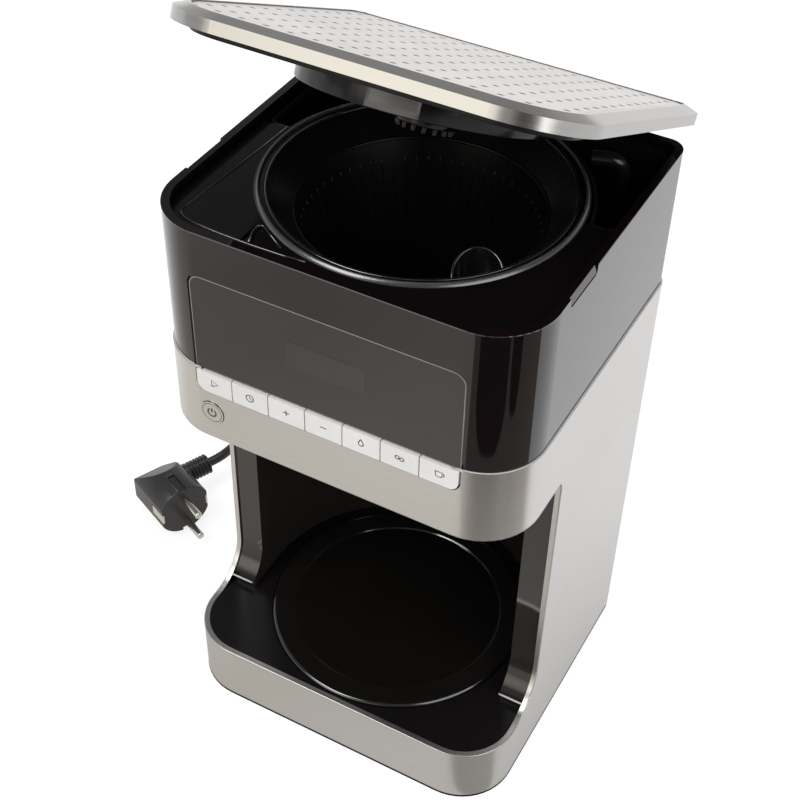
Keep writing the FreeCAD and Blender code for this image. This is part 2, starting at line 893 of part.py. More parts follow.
def push_button(index):
    """Flat cap with a stem; the end ones are rounded at their outer lower corners."""
    x0 = -button_row_half_w + index * button_pitch + button_gap / 2
    x1 = x0 + button_pitch - button_gap
    left_r = button_end_r if index == 0 else 0
    right_r = button_end_r if index == button_count - 1 else 0
    y0 = front_y - button_proud
    corners = [(x0, button_low_z, left_r), (x1, button_low_z, right_r), (x1, button_top_z, 0), (x0, button_top_z, 0)]
    cap = slab(corners, from_front(y0), V(0, button_t, 0))
    x, z = switch_places()[index]
    return cap.fuse(rod_y(x, z, stem_r, y0 + button_t, stem_back_y))


def power_button():
    """Round cap with a stem."""
    y0 = front_y - button_proud
    cap = rod_y(power_x, power_z, power_r, y0, y0 + button_t)
    return cap.fuse(rod_y(power_x, power_z, stem_r, y0 + button_t, stem_back_y))


def power_ring():
    """Metal ring round the power button."""
    y0 = front_y - button_proud
    y1 = front_y + lip_w
    hole = rod_y(power_x, power_z, power_r + run_gap, y0, y1)
    return rod_y(power_x, power_z, ring_r(), y0, y1).cut(hole)


def top_deck():
    """Deck below the rim with a collar that carries the filter basket."""
    low = top_deck_z - top_deck_t
    deck = body_block(shell_inset + shell_t + fit_gap, low, top_deck_z)
    deck = deck.common(ahead_of(front_y + top_deck_rear, 0, rim_z))
    collar_low = top_deck_z - collar_h
    deck = deck.fuse(rod_z(0, basket_y, collar_r + collar_t, collar_low, top_deck_z))
    deck = deck.cut(rod_z(0, basket_y, collar_r, collar_low + collar_t, top_deck_z))
    deck = deck.cut(rod_z(0, basket_y, collar_r - collar_ledge_w, 0, rim_z))
    y0 = front_y + slot_front
    corners = frame_corners(slot_w / 2, y0, y0 + slot_l, 0, slot_w / 3)
    slot = slab(corners, from_above(top_deck_z - slot_depth), V(0, 0, rim_z))
    slot.translate(V(slot_x, 0, 0))
    return deck.cut(slot).removeSplitter()


def filter_basket():
    """Basket with a sloping rim, a tapered cup and an outlet for the drip valve."""
    cup_top_z = basket_z - cup_top_drop
    skirt_low = top_deck_z - collar_h + collar_t + run_gap
    skirt_in = basket_r - basket_skirt_t
    under_z = basket_z - basket_t * 2
    corners = [(0, cup_floor_z - basket_t, 0), (cup_low_r + basket_t, cup_floor_z - basket_t, 0),
               (cup_top_r + basket_t, cup_top_z - basket_t, 0), (skirt_in, under_z, 0), (skirt_in, skirt_low, 0),
               (basket_r, skirt_low, 0), (basket_r, basket_z, basket_lip_w / 3),
               (basket_r - basket_lip_w, basket_z, basket_lip_w / 4), (cup_top_r, cup_top_z, 0),
               (cup_low_r, cup_floor_z, 0), (0, cup_floor_z, 0)]
    basket = spin(corners, 0, basket_y)
    basket = basket.fuse(rod_z(0, plate_y, spout_r, spout_low_z, cup_floor_z - basket_t / 2))
    basket = basket.cut(rod_z(0, plate_y, spout_bore_r, seat_z, cup_floor_z - basket_t))
    basket = basket.cut(rod_z(0, plate_y, seat_r, spout_low_z, seat_z))
    return basket.cut(rod_z(0, plate_y, drip_hole_r, seat_z, cup_floor_z)).removeSplitter()


def drip_valve():
    """Valve with a foot that a jug lifts, a stem and a head inside the outlet."""
    foot_top = valve_foot_low_z + valve_foot_t
    foot = rod_z(0, plate_y, valve_foot_r, valve_foot_low_z, foot_top)
    stem = rod_z(0, plate_y, valve_stem_r, foot_top, valve_head_z)
    head = rod_z(0, plate_y, valve_head_r, valve_head_z, valve_head_z + valve_head_t)
    return fuse([foot, stem, head])


def valve_seal():
    """Seal under the valve's head."""
    return ring(0, plate_y, valve_stem_r, valve_head_r, valve_head_z - valve_seal_t, valve_head_z)


def drip_spring():
    """Space of the spring that closes the drip valve."""
    return ring(0, plate_y, spring_r - spring_wire, spring_r, valve_head_z + valve_head_t, cup_floor_z - basket_t)


def tank_body(wall):
    """Tank's space: a column behind the bay and pockets behind the basket, moved in by the wall."""
    half = tank_half_w - wall
    y0 = front_y + tank_front + wall
    y1 = back_y - tank_back - wall
    corners = frame_corners(half, y0, y1, tank_corner_r - wall, tank_corner_r - wall)
    column_r = liner_r + liner_t + tank_gap_low + wall
    pocket_r = collar_r + collar_t + tank_gap_high + wall
    low = tank_low_z + wall
    column = slab(corners, from_above(low), V(0, 0, tank_step_z - low))
    column = column.cut(rod_z(0, plate_y, column_r, low, tank_step_z))
    pocket_z = tank_pocket_z + wall
    pocket = slab(corners, from_above(pocket_z), V(0, 0, tank_top_z - pocket_z))
    return column.fuse(pocket.cut(rod_z(0, basket_y, pocket_r, pocket_z, tank_top_z)))


def water_tank():
    """Open-topped tank with an outlet in its floor and a passage for the riser."""
    tank = tank_body(0).cut(tank_body(tank_wall))
    tank = tank.cut(rod_z(-water_r, check_y, water_bore_r, 0, tank_low_z + tank_wall))
    return tank.cut(rod_z(riser_x, riser_y, riser_r + fit_gap, 0, tank_low_z + tank_wall)).removeSplitter()


def check_valve():
    """Valve body under the tank with a side nozzle for the cold hose."""
    body = rod_z(-water_r, check_y, check_valve_r, check_valve_low_z, tank_low_z)
    nozzle = rod_y(-water_r, heater_mid_z, hose_r, check_y - check_valve_r - hose_wall, check_y)
    bore = rod_z(-water_r, check_y, water_bore_r, heater_mid_z - water_bore_r, tank_low_z)
    side = rod_y(-water_r, heater_mid_z, hose_r - hose_wall, check_y - check_valve_r - hose_wall, check_y)
    return body.fuse(nozzle).cut(bore).cut(side)


def cold_hose():
    """Straight hose from the check valve to the heater."""
    y1 = check_y - check_valve_r - hose_wall
    hose = rod_y(-water_r, heater_mid_z, hose_r, heater_end_y, y1)
    return hose.cut(rod_y(-water_r, heater_mid_z, hose_r - hose_wall, heater_end_y, y1))


def hot_points():
    """Route of the hot hose from the heater to the riser's foot."""
    z = heater_mid_z
    return [V(water_r, heater_end_y, z), V(water_r, heater_end_y + riser_turn, z),
            V(riser_x, riser_y, z), V(riser_x, riser_y, tank_low_z - fit_gap)]


def hot_hose():
    """Hose from the heater up to the riser."""
    points = hot_points()
    return path_tube(points, hose_r).cut(path_tube(points, hose_r - hose_wall))


def hose_clips():
    """Spring bands round the hose ends."""
    cold_end = check_y - check_valve_r - hose_wall
    places = [(-water_r, heater_end_y + clip_w), (-water_r, cold_end - 2 * clip_w), (water_r, heater_end_y + clip_w / 2)]
    bands = []
    for x, y in places:
        band = rod_y(x, heater_mid_z, hose_r + clip_t, y, y + clip_w)
        bands.append(band.cut(rod_y(x, heater_mid_z, hose_r + pin_play, y, y + clip_w)))
    return bands


def riser_tube():
    """Tube through the tank that ends in a spout beside the basket."""
    z0 = tank_low_z - fit_gap
    out = V(riser_x - riser_turn, riser_y - riser_turn / 3, riser_top_z)
    points = [V(riser_x, riser_y, z0), V(riser_x, riser_y, riser_top_z), out]
    return path_tube(points, riser_r).cut(path_tube(points, riser_r - riser_wall))


def wire_loom():
    """Bundle of wires from the gland through the base and a pillar to the control board."""
    y = front_y + loom_y_setback
    end_y = front_y + board_setback + board_t
    inner = back_y - gland_in
    end_x = board_half_w - loom_board_in
    top = ceiling_z + loom_rise
    points = [V(gland_x, inner, loom_z), V(gland_x, inner - loom_run, loom_z),
              V(loom_x - loom_run, y + loom_run, loom_z), V(loom_x, y, loom_z), V(loom_x, y, top),
              V(end_x, end_y + loom_run, top), V(end_x, end_y, top)]
    return path_tube(points, loom_r)


def hinge_pins():
    """One pin through each pair of knuckles."""
    x0 = hinge_half_span - knuckle_w
    return both_sides(rod_x(hinge_y, hinge_z, pin_r, x0, x0 + 2 * knuckle_w + run_gap))


def lid_corners(inset):
    """Lid outline, moved in from the outside."""
    r_back = max(lid_back_r - inset, edge_r / 2)
    return frame_corners(lid_half_w - inset, lid_front_y + inset, lid_back_y - inset, lid_front_r - inset, r_back)


def lid_block(inset, z0, z1):
    """Upright block on the lid outline."""
    return slab(lid_corners(inset), from_above(z0), V(0, 0, z1 - z0))


def lid_form(inset, z0, face_z, top_z):
    """Block on the lid outline with a bevelled top."""
    low = outline(lid_corners(inset), from_above(face_z))
    high = outline(lid_corners(inset + lid_bevel_w), from_above(top_z))
    return lid_block(inset, z0, face_z).fuse(Part.makeLoft([low, high], True, True))


def opened(shape):
    """Lid piece turned from closed to the raised position."""
    shape.rotate(V(0, hinge_y, hinge_z), V(-1, 0, 0), lid_open)
    return shape


def lid_frame():
    """Steel frame with a bevelled top edge round the panel."""
    face_z = lid_z + lid_face_h
    frame = lid_form(0, lid_z, face_z, lid_top_z)
    drop = lid_frame_t / 2
    hollow = lid_form(lid_frame_t, lid_z - 1, face_z - drop, lid_top_z - drop)
    frame = frame.cut(hollow).cut(lid_block(lid_bevel_w + panel_flange, lid_z, lid_top_z + 1))
    return opened(frame.removeSplitter())


def lid_panel():
    """Flat panel in the middle of the frame."""
    return opened(lid_block(lid_bevel_w + panel_flange + fit_gap, panel_z - panel_t, panel_z))


def lid_arm():
    """Hinge arm under the back of the lid, with its knuckle."""
    x0 = hinge_half_span - knuckle_w
    arm_z = lid_z - fit_gap
    arm = box(x0, hinge_half_span, lid_back_y - liner_in - liner_wall, hinge_y, arm_z - arm_t, arm_z)
    knuckle = rod_x(hinge_y, hinge_z, knuckle_r, x0, hinge_half_span)
    return arm.fuse(knuckle).cut(rod_x(hinge_y, hinge_z, pin_r + pin_play, x0, hinge_half_span))


def lid_screw_places():
    """Screws in the corners of the lid."""
    return at_corners(lid_half_w - lid_screw_in, lid_front_y + lid_screw_in, lid_back_y - lid_screw_in)


def lid_liner():
    """Black underside with a rim all round, pads under the panel and the hinge arms."""
    liner = lid_block(liner_in, liner_low_z, liner_z)
    liner = liner.cut(lid_block(liner_in + liner_wall, liner_low_z, liner_under_z))
    pad_z = panel_z - panel_t - fit_gap / 2
    pads = lid_block(pad_in, liner_z, pad_z).cut(lid_block(pad_in + pad_w, liner_z, pad_z))
    liner = fuse([liner, pads] + both_sides(lid_arm()))
    for x, y in lid_screw_places():
        liner = liner.cut(rod_z(x, y, screw_r + pin_play, liner_under_z, pad_z))
    return opened(liner)


def lid_screws():
    """Screws that hold the underside to the frame's panel."""
    shank = liner_plate_t
    return [opened(rod_z(x, y, screw_head_r, liner_under_z - screw_head_h, liner_under_z).fuse(
        rod_z(x, y, screw_r, liner_under_z, liner_under_z + shank))) for x, y in lid_screw_places()]


def channel_block(grow):
    """Straight duct from above the spout to the shower head."""
    end_x = riser_x - riser_turn
    end_y = riser_y - riser_turn / 3
    length = math.hypot(end_x, end_y - basket_y)
    wide = channel_w / 2 + grow
    duct = box(shower_stem_r, length + wide, -wide, wide, liner_under_z - channel_h - grow, liner_under_z)
    duct.rotate(V(0, 0, 0), V(0, 0, 1), math.degrees(math.atan2(end_y - basket_y, end_x)))
    duct.translate(V(0, basket_y, 0))
    return duct


def shower_channel():
    """Duct on the lid's underside."""
    return opened(channel_block(0).cut(rod_z(0, basket_y, shower_stem_r + fit_gap, 0, lid_top_z)))


def steam_skirt():
    """Round skirt under the lid that drops inside the basket's rim."""
    skirt = ring(0, skirt_y, skirt_r - skirt_t, skirt_r, rim_z - skirt_drop, liner_under_z)
    return opened(skirt.cut(channel_block(fit_gap)))


def shower_head():
    """Round spray head with short teeth round its edge."""
    low = rim_z - shower_drop + tooth_h
    head = rod_z(0, basket_y, shower_r, low, low + shower_t)
    stem = rod_z(0, basket_y, shower_stem_r, low + shower_t, liner_under_z)
    circle_r = shower_r - 1.5 * tooth_r
    teeth = []
    for i in range(shower_teeth):
        angle = 2 * math.pi * i / shower_teeth
        place = (circle_r * math.cos(angle), basket_y + circle_r * math.sin(angle))
        teeth.append(rod_z(place[0], place[1], tooth_r, low - tooth_h, low))
    return opened(fuse([head, stem] + teeth))


def cord_gland():
    """Grommet where the cord leaves the rear cover."""
    inner = back_y - sheet_t - fit_gap - cover_t
    flange = rod_y(gland_x, gland_z, gland_flange_r, inner - gland_flange_t, inner)
    sleeve = Part.makeCone(gland_r, cord_r + gland_tip, gland_out, V(gland_x, back_y, gland_z), V(0, 1, 0))
    return fuse([flange, rod_y(gland_x, gland_z, gland_r, back_y - gland_in, back_y), sleeve])


def tail_points():
    """Route from the gland down to the floor, where the coil starts."""
    fall = math.radians(tail_dip)
    start = V(gland_x, back_y + gland_out, gland_z)
    first = start + V(0, tail_run, 0)
    second = first + V(0, tail_run * math.cos(fall), -tail_run * math.sin(fall))
    return [start, first, second, second + V(0, tail_run, 0)]


def cord_tail():
    """Stretch of cord between the gland and the coil."""
    return path_tube(tail_points(), cord_r, "cord tail")


def coil_point(turn):
    """Point of the coil after a number of turns: in on the floor, up a layer, out again."""
    start = tail_points()[-1]
    inner = coil_r - coil_pitch * coil_in_turns
    past = turn - coil_in_turns
    if past < 0:
        r = coil_r - coil_pitch * turn
        rise = 0
    elif past < 0.5:
        r = inner + 2 * coil_pitch * ((past - 0.25) ** 2 - 0.0625)
        rise = (1 - math.cos(2 * math.pi * past)) / 2
    else:
        r = inner + coil_pitch * (past - 0.5)
        rise = 1
    angle = 2 * math.pi * turn
    middle_x = start.x - coil_r
    middle_y = start.y + 2 * cord_r
    return V(middle_x + r * math.cos(angle), middle_y + r * math.sin(angle), start.z + rise * coil_layer)


def coil_direction(turn):
    """Direction of the coil after a number of turns."""
    step = 0.001
    return (coil_point(turn + step) - coil_point(turn - step)).normalize()


def biarc(p0, t0, p1, t1):
    """Two tangent arcs from one point and direction to another."""
    span = p1 - p0
    a = 2 * (t0.dot(t1) - 1)
    b = -2 * span.dot(t0 + t1)
    c = span.dot(span)
    reach = (-b - math.sqrt(b * b - 4 * a * c)) / (2 * a)
    q0 = p0 + t0 * reach
    q1 = p1 - t1 * reach
    joint = (q0 + q1) * 0.5
    return [corner_arc(p0, q0, joint, reach), corner_arc(joint, q1, p1, reach)]


def coil_turns():
    """Turns at the ends of the coil's quarter-turn stretches."""
    quarters = round(4 * (coil_in_turns + 0.5 + coil_out_turns))
    return [i / 4 for i in range(quarters + 1)]


def coil_end():
    """Last point of the coil and its direction, past a straight end as long as the cord is thick."""
    last = coil_turns()[-1]
    direction = coil_direction(last)
    return coil_point(last) + direction * (2 * cord_r), direction


def cord_coil():
    """Loops of the spare cord behind the body, as one unbroken tube."""
    turns = coil_turns()
    first = V(0, 1, 0)
    start = tail_points()[-1]
    directions = [first] + [coil_direction(turn) for turn in turns[1:]]
    edges = [Part.LineSegment(start, coil_point(0)).toShape()]
    for i in range(len(turns) - 1):
        edges += biarc(coil_point(turns[i]), directions[i], coil_point(turns[i + 1]), directions[i + 1])
    edges.append(Part.LineSegment(coil_point(turns[-1]), coil_end()[0]).toShape())
    report_coil(edges)
    return sweep(edges, start, first, cord_r)


def report_coil(edges):
    """Prints the coil's length and the least gap between its turns."""
    steps = 90
    count = round(coil_turns()[-1] * steps)
    points = [coil_point(i / steps) for i in range(count + 1)]
    apart = min(points[i].distanceToPoint(points[j])
                for i in range(count + 1) for j in range(i + steps // 2, count + 1))
    length = sum(edge.Length for edge in edges)
    print("coil length", round(length, 1), "least gap", round(apart - 2 * cord_r, 2))


def plug_place(u, v, w):
    """Point of the plug, u along the pins, v along the cord's exit, w up."""
    turn = math.radians(plug_turn)
    x = plug_x + u * math.cos(turn) - v * math.sin(turn)
    y = plug_y + u * math.sin(turn) + v * math.cos(turn)
    return V(x, y, plug_z + w)


def lead_points():
    """Route from the coil along the floor, round the back corner and up to the plug."""
    start, direction = coil_end()
    end = relief_start + relief_smooth + relief_ribs * relief_rib
    return [start, start + direction * lead_first_run, V(-66, 181.5, 6.2), V(-98, 174, 3.4), V(-127, 159, 3.2),
            V(-150, 137, 3.2), V(-166, 110, 4.6), V(-174, 88, 9.2), V(-175.6, 70, 14.4), V(-174.8, 55.7, 17.8),
            plug_place(-plug_back, end + lead_last_run, 0), plug_place(-plug_back, end, 0)]


def cord_lead():
    """Stretch of cord between the coil and the plug."""
    return path_tube(lead_points(), cord_r, "cord lead")


def set_plug(shape):
    """Plug piece turned and moved to where the plug lies."""
    shape.rotate(V(0, 0, 0), V(0, 0, 1), plug_turn)
    shape.translate(V(plug_x, plug_y, plug_z))
    return shape


def relief_sleeve():
    """Ribbed sleeve that carries the cord out of the plug."""
    smooth_end = relief_start + relief_smooth
    low = relief_start - relief_r
    groove = relief_r - relief_groove
    profile = [(0, low, 0), (relief_r, low, 0), (relief_r, smooth_end, 0)]
    for i in range(relief_ribs):
        v0 = smooth_end + i * relief_rib
        v1 = v0 + relief_rib / 2
        profile += [(groove, v0, 0), (groove, v1, 0), (relief_r, v1, 0), (relief_r, v0 + relief_rib, 0)]
    profile.append((0, smooth_end + relief_ribs * relief_rib, 0))
    face = Part.Face(outline(profile, lambda p: V(p.x - plug_back, p.y, 0)))
    return face.revolve(V(-plug_back, 0, 0), V(0, 1, 0), 360)


def plug_body():
    """Angled plug: round front with flat sides, sloping back and a ribbed sleeve for the cord."""
    over = plug_boss_r + edge_r
    barrel = rod_x(0, 0, plug_boss_r, -plug_depth, 0)
    flats = box(-plug_depth, 0, -plug_flat, plug_flat, -over, over)
    side_view = [(0, -over, 0), (0, over, 0), (-plug_slope, over, 0), (-plug_depth, plug_back_half_h, 0),
                 (-plug_depth, -plug_back_half_h, 0), (-plug_slope, -over, 0)]
    top_view = [(0, -over, 0), (0, over, 0), (-plug_boss_l, over, 0), (-plug_boss_l, plug_side, 0),
                (-plug_depth + plug_back_side, plug_side, 0), (-plug_depth, plug_back_side, 0), (-plug_depth, -over, 0)]
    body = barrel.common(flats)
    body = body.common(slab(side_view, from_front(-over), V(0, 2 * over, 0)))
    body = body.common(slab(top_view, from_above(-over), V(0, 0, 2 * over)))
    body = body.fuse(relief_sleeve())
    floor = plug_boss_r - plug_groove_d
    for side in (-1, 1):
        z0 = min(side * floor, side * over)
        groove = box(-plug_boss_l, 0, -plug_groove_half_w, plug_groove_half_w, z0, z0 + over - floor)
        body = body.cut(groove).cut(earth_block(side, fit_gap / 2))
    return set_plug(body.removeSplitter())


def earth_block(side, grow):
    """Space of one earth clip at the side of the plug's round front."""
    v0 = side * (plug_flat - earth_t)
    v1 = side * (plug_flat + earth_t)
    wide = earth_half_w + grow
    return box(-earth_l - grow, 1, min(v0, v1) - grow, max(v0, v1) + grow, -wide, wide)


def earth_clips():
    """Two earth clips."""
    v0 = plug_flat - earth_t
    strip = box(-earth_l, 0, v0, v0 + earth_t, -earth_half_w, earth_half_w)
    strips = [strip, strip.mirror(V(0, 0, 0), V(0, 1, 0))]
    return [set_plug(piece) for piece in strips]


def plug_pins():
    """Two round pins, one above the other."""
    pins = []
    for side in (-1, 1):
        pin = rod_x(0, side * plug_pin_half, plug_pin_r, 0, plug_pin_l)
        tip = [edge for edge in pin.Edges if edge.CenterOfMass.x > plug_pin_l - plug_pin_r / 100
               and edge.Length > plug_pin_r]
        pins.append(set_plug(pin.makeFillet(plug_pin_r / 2, tip)))
    return pins


single = [steel_sleeve, base_pan, base_deck, hot_plate, plate_seal, heater_block, heating_rod, heater_clamp,
          thermostat, bay_liner, bay_ceiling, rear_cover, upper_shell, display_window, display_module,
          button_carrier, control_board, power_button, power_ring, top_deck, filter_basket, drip_valve, valve_seal,
          drip_spring, water_tank, check_valve, cold_hose, hot_hose, riser_tube, wire_loom, lid_frame, lid_panel,
          lid_liner, shower_channel, steam_skirt, shower_head, cord_gland, cord_tail, cord_coil, cord_lead, plug_body]
grouped = [feet, base_screws, clamp_screws, thermal_fuses, cover_screws, tact_switches, hose_clips, hinge_pins,
           lid_screws, earth_clips, plug_pins]

os.makedirs("parts", exist_ok=True)
for make in single:
    make().exportStep("parts/" + make.__name__ + ".step")
for make in grouped:
    Part.makeCompound(make()).exportStep("parts/" + make.__name__ + ".step")
for number in range(button_count):
    push_button(number).exportStep("parts/button_" + str(number + 1) + ".step")
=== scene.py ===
"""Looks of a drip coffee maker with its lid raised: steel, black plastics, white buttons, dotted lid and cord.

Metres, +Z up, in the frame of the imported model. The solids stay as they are and get their finishes here. Surfaces
made here stand for the cord, the lid plate, the hot plate and the drip spring, and add thin trim such as rolled
edges, rim lines, the basket's ribs and the signs on the buttons.
"""

import math

import bpy
import numpy as np
from mathutils import Matrix, Vector


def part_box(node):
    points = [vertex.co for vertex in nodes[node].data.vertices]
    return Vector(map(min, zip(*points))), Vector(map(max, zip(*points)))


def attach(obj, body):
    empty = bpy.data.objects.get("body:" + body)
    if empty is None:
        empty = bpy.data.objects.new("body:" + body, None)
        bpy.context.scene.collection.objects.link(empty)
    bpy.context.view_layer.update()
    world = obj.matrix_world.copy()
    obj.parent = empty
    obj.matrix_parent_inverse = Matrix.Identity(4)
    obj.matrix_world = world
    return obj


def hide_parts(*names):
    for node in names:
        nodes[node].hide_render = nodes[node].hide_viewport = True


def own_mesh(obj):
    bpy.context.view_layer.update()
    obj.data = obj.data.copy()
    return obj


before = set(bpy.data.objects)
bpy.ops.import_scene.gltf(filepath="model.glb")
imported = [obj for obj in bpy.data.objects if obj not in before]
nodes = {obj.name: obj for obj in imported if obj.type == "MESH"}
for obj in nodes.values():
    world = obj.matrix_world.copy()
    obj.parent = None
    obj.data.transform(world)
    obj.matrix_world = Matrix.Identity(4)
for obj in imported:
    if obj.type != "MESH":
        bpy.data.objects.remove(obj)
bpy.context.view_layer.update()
scene = bpy.context.scene

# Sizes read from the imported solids
sleeve_low, sleeve_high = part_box("steel_sleeve")
front_y = sleeve_low.y
back_y = sleeve_high.y
half_w = sleeve_high.x
basket_low, basket_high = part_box("filter_basket")
basket_mid = (0, (basket_low.y + basket_high.y) / 2)
basket_r = (basket_high.x - basket_low.x) / 2
basket_z = basket_high.z
gland_low, gland_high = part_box("cord_gland")
gland_mid_x = (gland_low.x + gland_high.x) / 2
gland_mid_z = (gland_low.z + gland_high.z) / 2
window_low, window_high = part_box("display_window")
plate_low, plate_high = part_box("hot_plate")
plate_mid = (plate_low + plate_high) / 2
plate_r = (plate_high.x - plate_low.x) / 2

# Steel sleeve, its rolled edges, the painted shadow along its foot and the painted highlights on the pillars' feet
corner_r = 0.0314
back_corner_r = 0.010
base_top_z = 0.0394
band_low_z = 0.2135
band_top_z = sleeve_high.z
bay_y = front_y + 0.059
bay_foot_r = 0.026
bay_top_r = 0.005
bay_hem_r = 0.00058
bay_hem_in = 0.00048
bay_hem_fade = 0.008
bay_hem_thin_r = 0.0003
band_hem_r = 0.00075
band_hem_in = 0.0008
band_hem_drop = 0.00045
button_end_x = 0.0722
# Painted contact shadow along the foot of the steel: radius of its dark bead and its inset
base_shadow_r = 0.0007
base_shadow_in = 0.8 * base_shadow_r
# Painted highlights on the steps at the pillars' feet: span across, place, width and direction of each pale bead
foot_glint_x = (0.0826, 0.0968)
foot_glint_place = (-0.0510, 0.0440)
foot_glint_w = 0.0012
foot_glint_way = (0, -0.6, 0.8)

# Hot plate
disc_drop = 0.001
disc_radii = np.array([0.002, 0.02, plate_r - 0.013, plate_r - 0.008])
plate_rim_r = plate_r - 0.0155
plate_rim_sink = 0.0001
plate_step_r = plate_r - 0.0135
plate_step_w = 0.0018
plate_step_h = 0.0011
plate_edge_r = 0.0016

# Display window with the painted highlight on its edge, signs on the buttons, and the painted shadow at the power
# button
window_r = 0.006
# Painted highlight on the window's edge: section of the pale line, and how far it sinks into the window
window_glint_size = (0.0007, 0.0006)
window_glint_sink = 0.0001
window_gap_x = window_low.x + np.array([-0.0007, -0.0007, 0.0005])
window_gap_z = np.array([window_low.z, window_high.z - 0.004, window_high.z - 0.0015])
window_gap_size = (0.0011, 0.0004)
window_gap_lift = 0.00012
screen_mid = (0.001, 0.2875)
screen_half_w = 0.021
screen_half_h = 0.0075
screen_r = 0.001
screen_lift = 0.00006
mark_scale = 0.00115
mark_w = 0.0006
mark_h = 0.0001
mark_up = 0.0004
power_mark_w = 0.0010
# Painted shadow at the power button: a dark gap line drawn only over the top and right of the ring; width, inset,
# span of angles and lift
power_shadow_w = 0.0009
power_shadow_in = 0.1
power_shadow_turns = (140, -60)
power_shadow_lift = 0.00003

# Rim, its finger notches and the deck, whose joint lines are in millimetres
rim_z = 0.3378
shell_inset = 0.0008
rim_line_r = 0.00045
rim_line_in = shell_inset + 0.8 * rim_line_r
notch_front_y = front_y + 0.042
notch_back_y = front_y + 0.071
notch_low_z = 0.3332
notch_end_gap = 0.0006
scoop_in = np.array([0.0015, 0.0002, 0.0011, 0.0015])
deck_z = 0.3325
deck_line_w = 0.0010
deck_lines = [
    [(-81.4, 4.8), (-83.3, -39.2), (-85.6, -76.0), (-85.9, -79.5), (-84.6, -82.3), (-80.5, -84.4), (-75.7, -85.5),
     (-60.0, -86.4), (-43.6, -86.6), (-28.0, -86.1), (-15.8, -85.2)],
    [(-45.6, -85.4), (-48.3, -77.4), (-48.6, -72.6), (-46.8, -71.6), (-44.4, -72.9), (-31.0, -81.6)],
]

# Basket and drip spring; a ring is a radius, a height, and its section's width and height
cup_top_r = basket_r - 0.0164
cup_top_z = basket_z - 0.0132
cup_floor_z = 0.238
cup_taper = 0.023
cup_ring = (cup_top_r + 0.0002, cup_top_z, 0.0016, 0.0016)
rib_count = 60
rib_half_w = 0.0006
rib_least_w = 0.3
rib_rise = 0.0007
rib_sink = 0.0001
rib_top_z = 0.3105
rib_rows = np.array([0, 0.004, 0.012, 0.03, 0.35, 0.7, 1.0])
rib_round = 0.03
rib_first = math.radians(0.5)
rim_slope_r = 0.0042
rim_slope_in = rim_slope_r * math.sqrt(0.5)
rim_slope_mid = (0.0789 - rim_slope_in, 0.3334 - rim_slope_in)
rim_slope_turns = (62, 30)
rim_crown_r = 0.0006
rim_crown_mid = (0.0777, 0.33355)
rim_crown_turns = (20, -80)
rim_low_z = basket_z - 0.002
rim_ring = (basket_r - 0.0035, basket_z - 0.0002, 0.0016, 0.0010)
finger_mid = (0.0472, -0.0398)
finger_r = 0.011
finger_pole_r = 0.001
finger_wall = 0.0012
finger_top_z = 0.3272
finger_floor_z = 0.304
finger_far = math.radians(112)
finger_drop = 0.014
spring_turns = 5
spring_steps = 24
spring_wire = 0.0010

# Lid, measured closed and then turned open about its hinge
lid_open = math.radians(26)
hinge_y = back_y + 0.0105
hinge_z = 0.3383
panel_half_w = 0.0920
panel_front_y = front_y + 0.0057
panel_back_y = back_y + 0.0026
panel_front_r = 0.0281
panel_back_r = 0.0071
panel_top_z = 0.3501
panel_t = 0.0012
panel_gap_size = (0.0008, 0.0009)
dot_pitch = 0.0121
dot_r = 0.0018
dot_reach = 1.25 * dot_r
dot_depth = 0.0006
dot_columns = 15
dot_rows = 14
dot_first_row = 0.0165
dot_sharp = 7
# Painted shade in the dimples of the lid plate: the darker colour the plate is mixed towards at each dot
dot_painted_shade = (0.05, 0.05, 0.048, 1)
# Painted reflection on the front of the lid's skirt, a pale curved plate: radius, middle, span of angles, heights and
# thickness
sheen_r = 0.0602
sheen_mid_y = front_y + 0.0852
sheen_turns = (269.5, 292.5)
sheen_z = (0.3290, 0.3415)
sheen_t = 0.0003

# Cord, its coil and its tie
cord_r = 0.0031
cord_rest_z = 0.00324
tail_straight = 0.016
tail_down = 0.0305
tail_end_y = gland_high.y + 0.0465
coil_r = 0.040
coil_pitch = 0.0072
coil_layer = 0.0069
coil_turns = 2.25
coil_steps = 16
coil_leave = (0.0322, 0, 0)
coil_mid = (gland_mid_x - coil_r, tail_end_y + 2 * cord_r)
lead_points = [(-0.066, 0.1815, 0.0062), (-0.098, 0.174, 0.0034), (-0.127, 0.159, 0.0032), (-0.150, 0.137, 0.0032),
               (-0.166, 0.110, 0.0046), (-0.174, 0.088, 0.0092), (-0.1756, 0.070, 0.0144), (-0.1748, 0.0557, 0.0178)]
plug_place = (-0.1678, -0.0022, 0.0185)
plug_turn = math.radians(-24.2)
plug_entry = np.array([[-0.0281, 0.0424], [-0.0281, 0.034]])
tie_steps = 40
tie_round = 0.6
tie_half_w = 0.0038
tie_half_h = 0.0066
tie_mid_y = coil_mid[1] - coil_r + 0.75 * coil_pitch
tie_mid_z = 0.0069
tie_size = (0.005, 0.0006)

# Camera
camera_place = (0.2681, -0.5292, 0.7305)
camera_heading = math.radians(27.89)
camera_down = math.radians(42.35)
camera_roll = math.radians(1.42)
camera_lens = 66.97
camera_sensor = 36

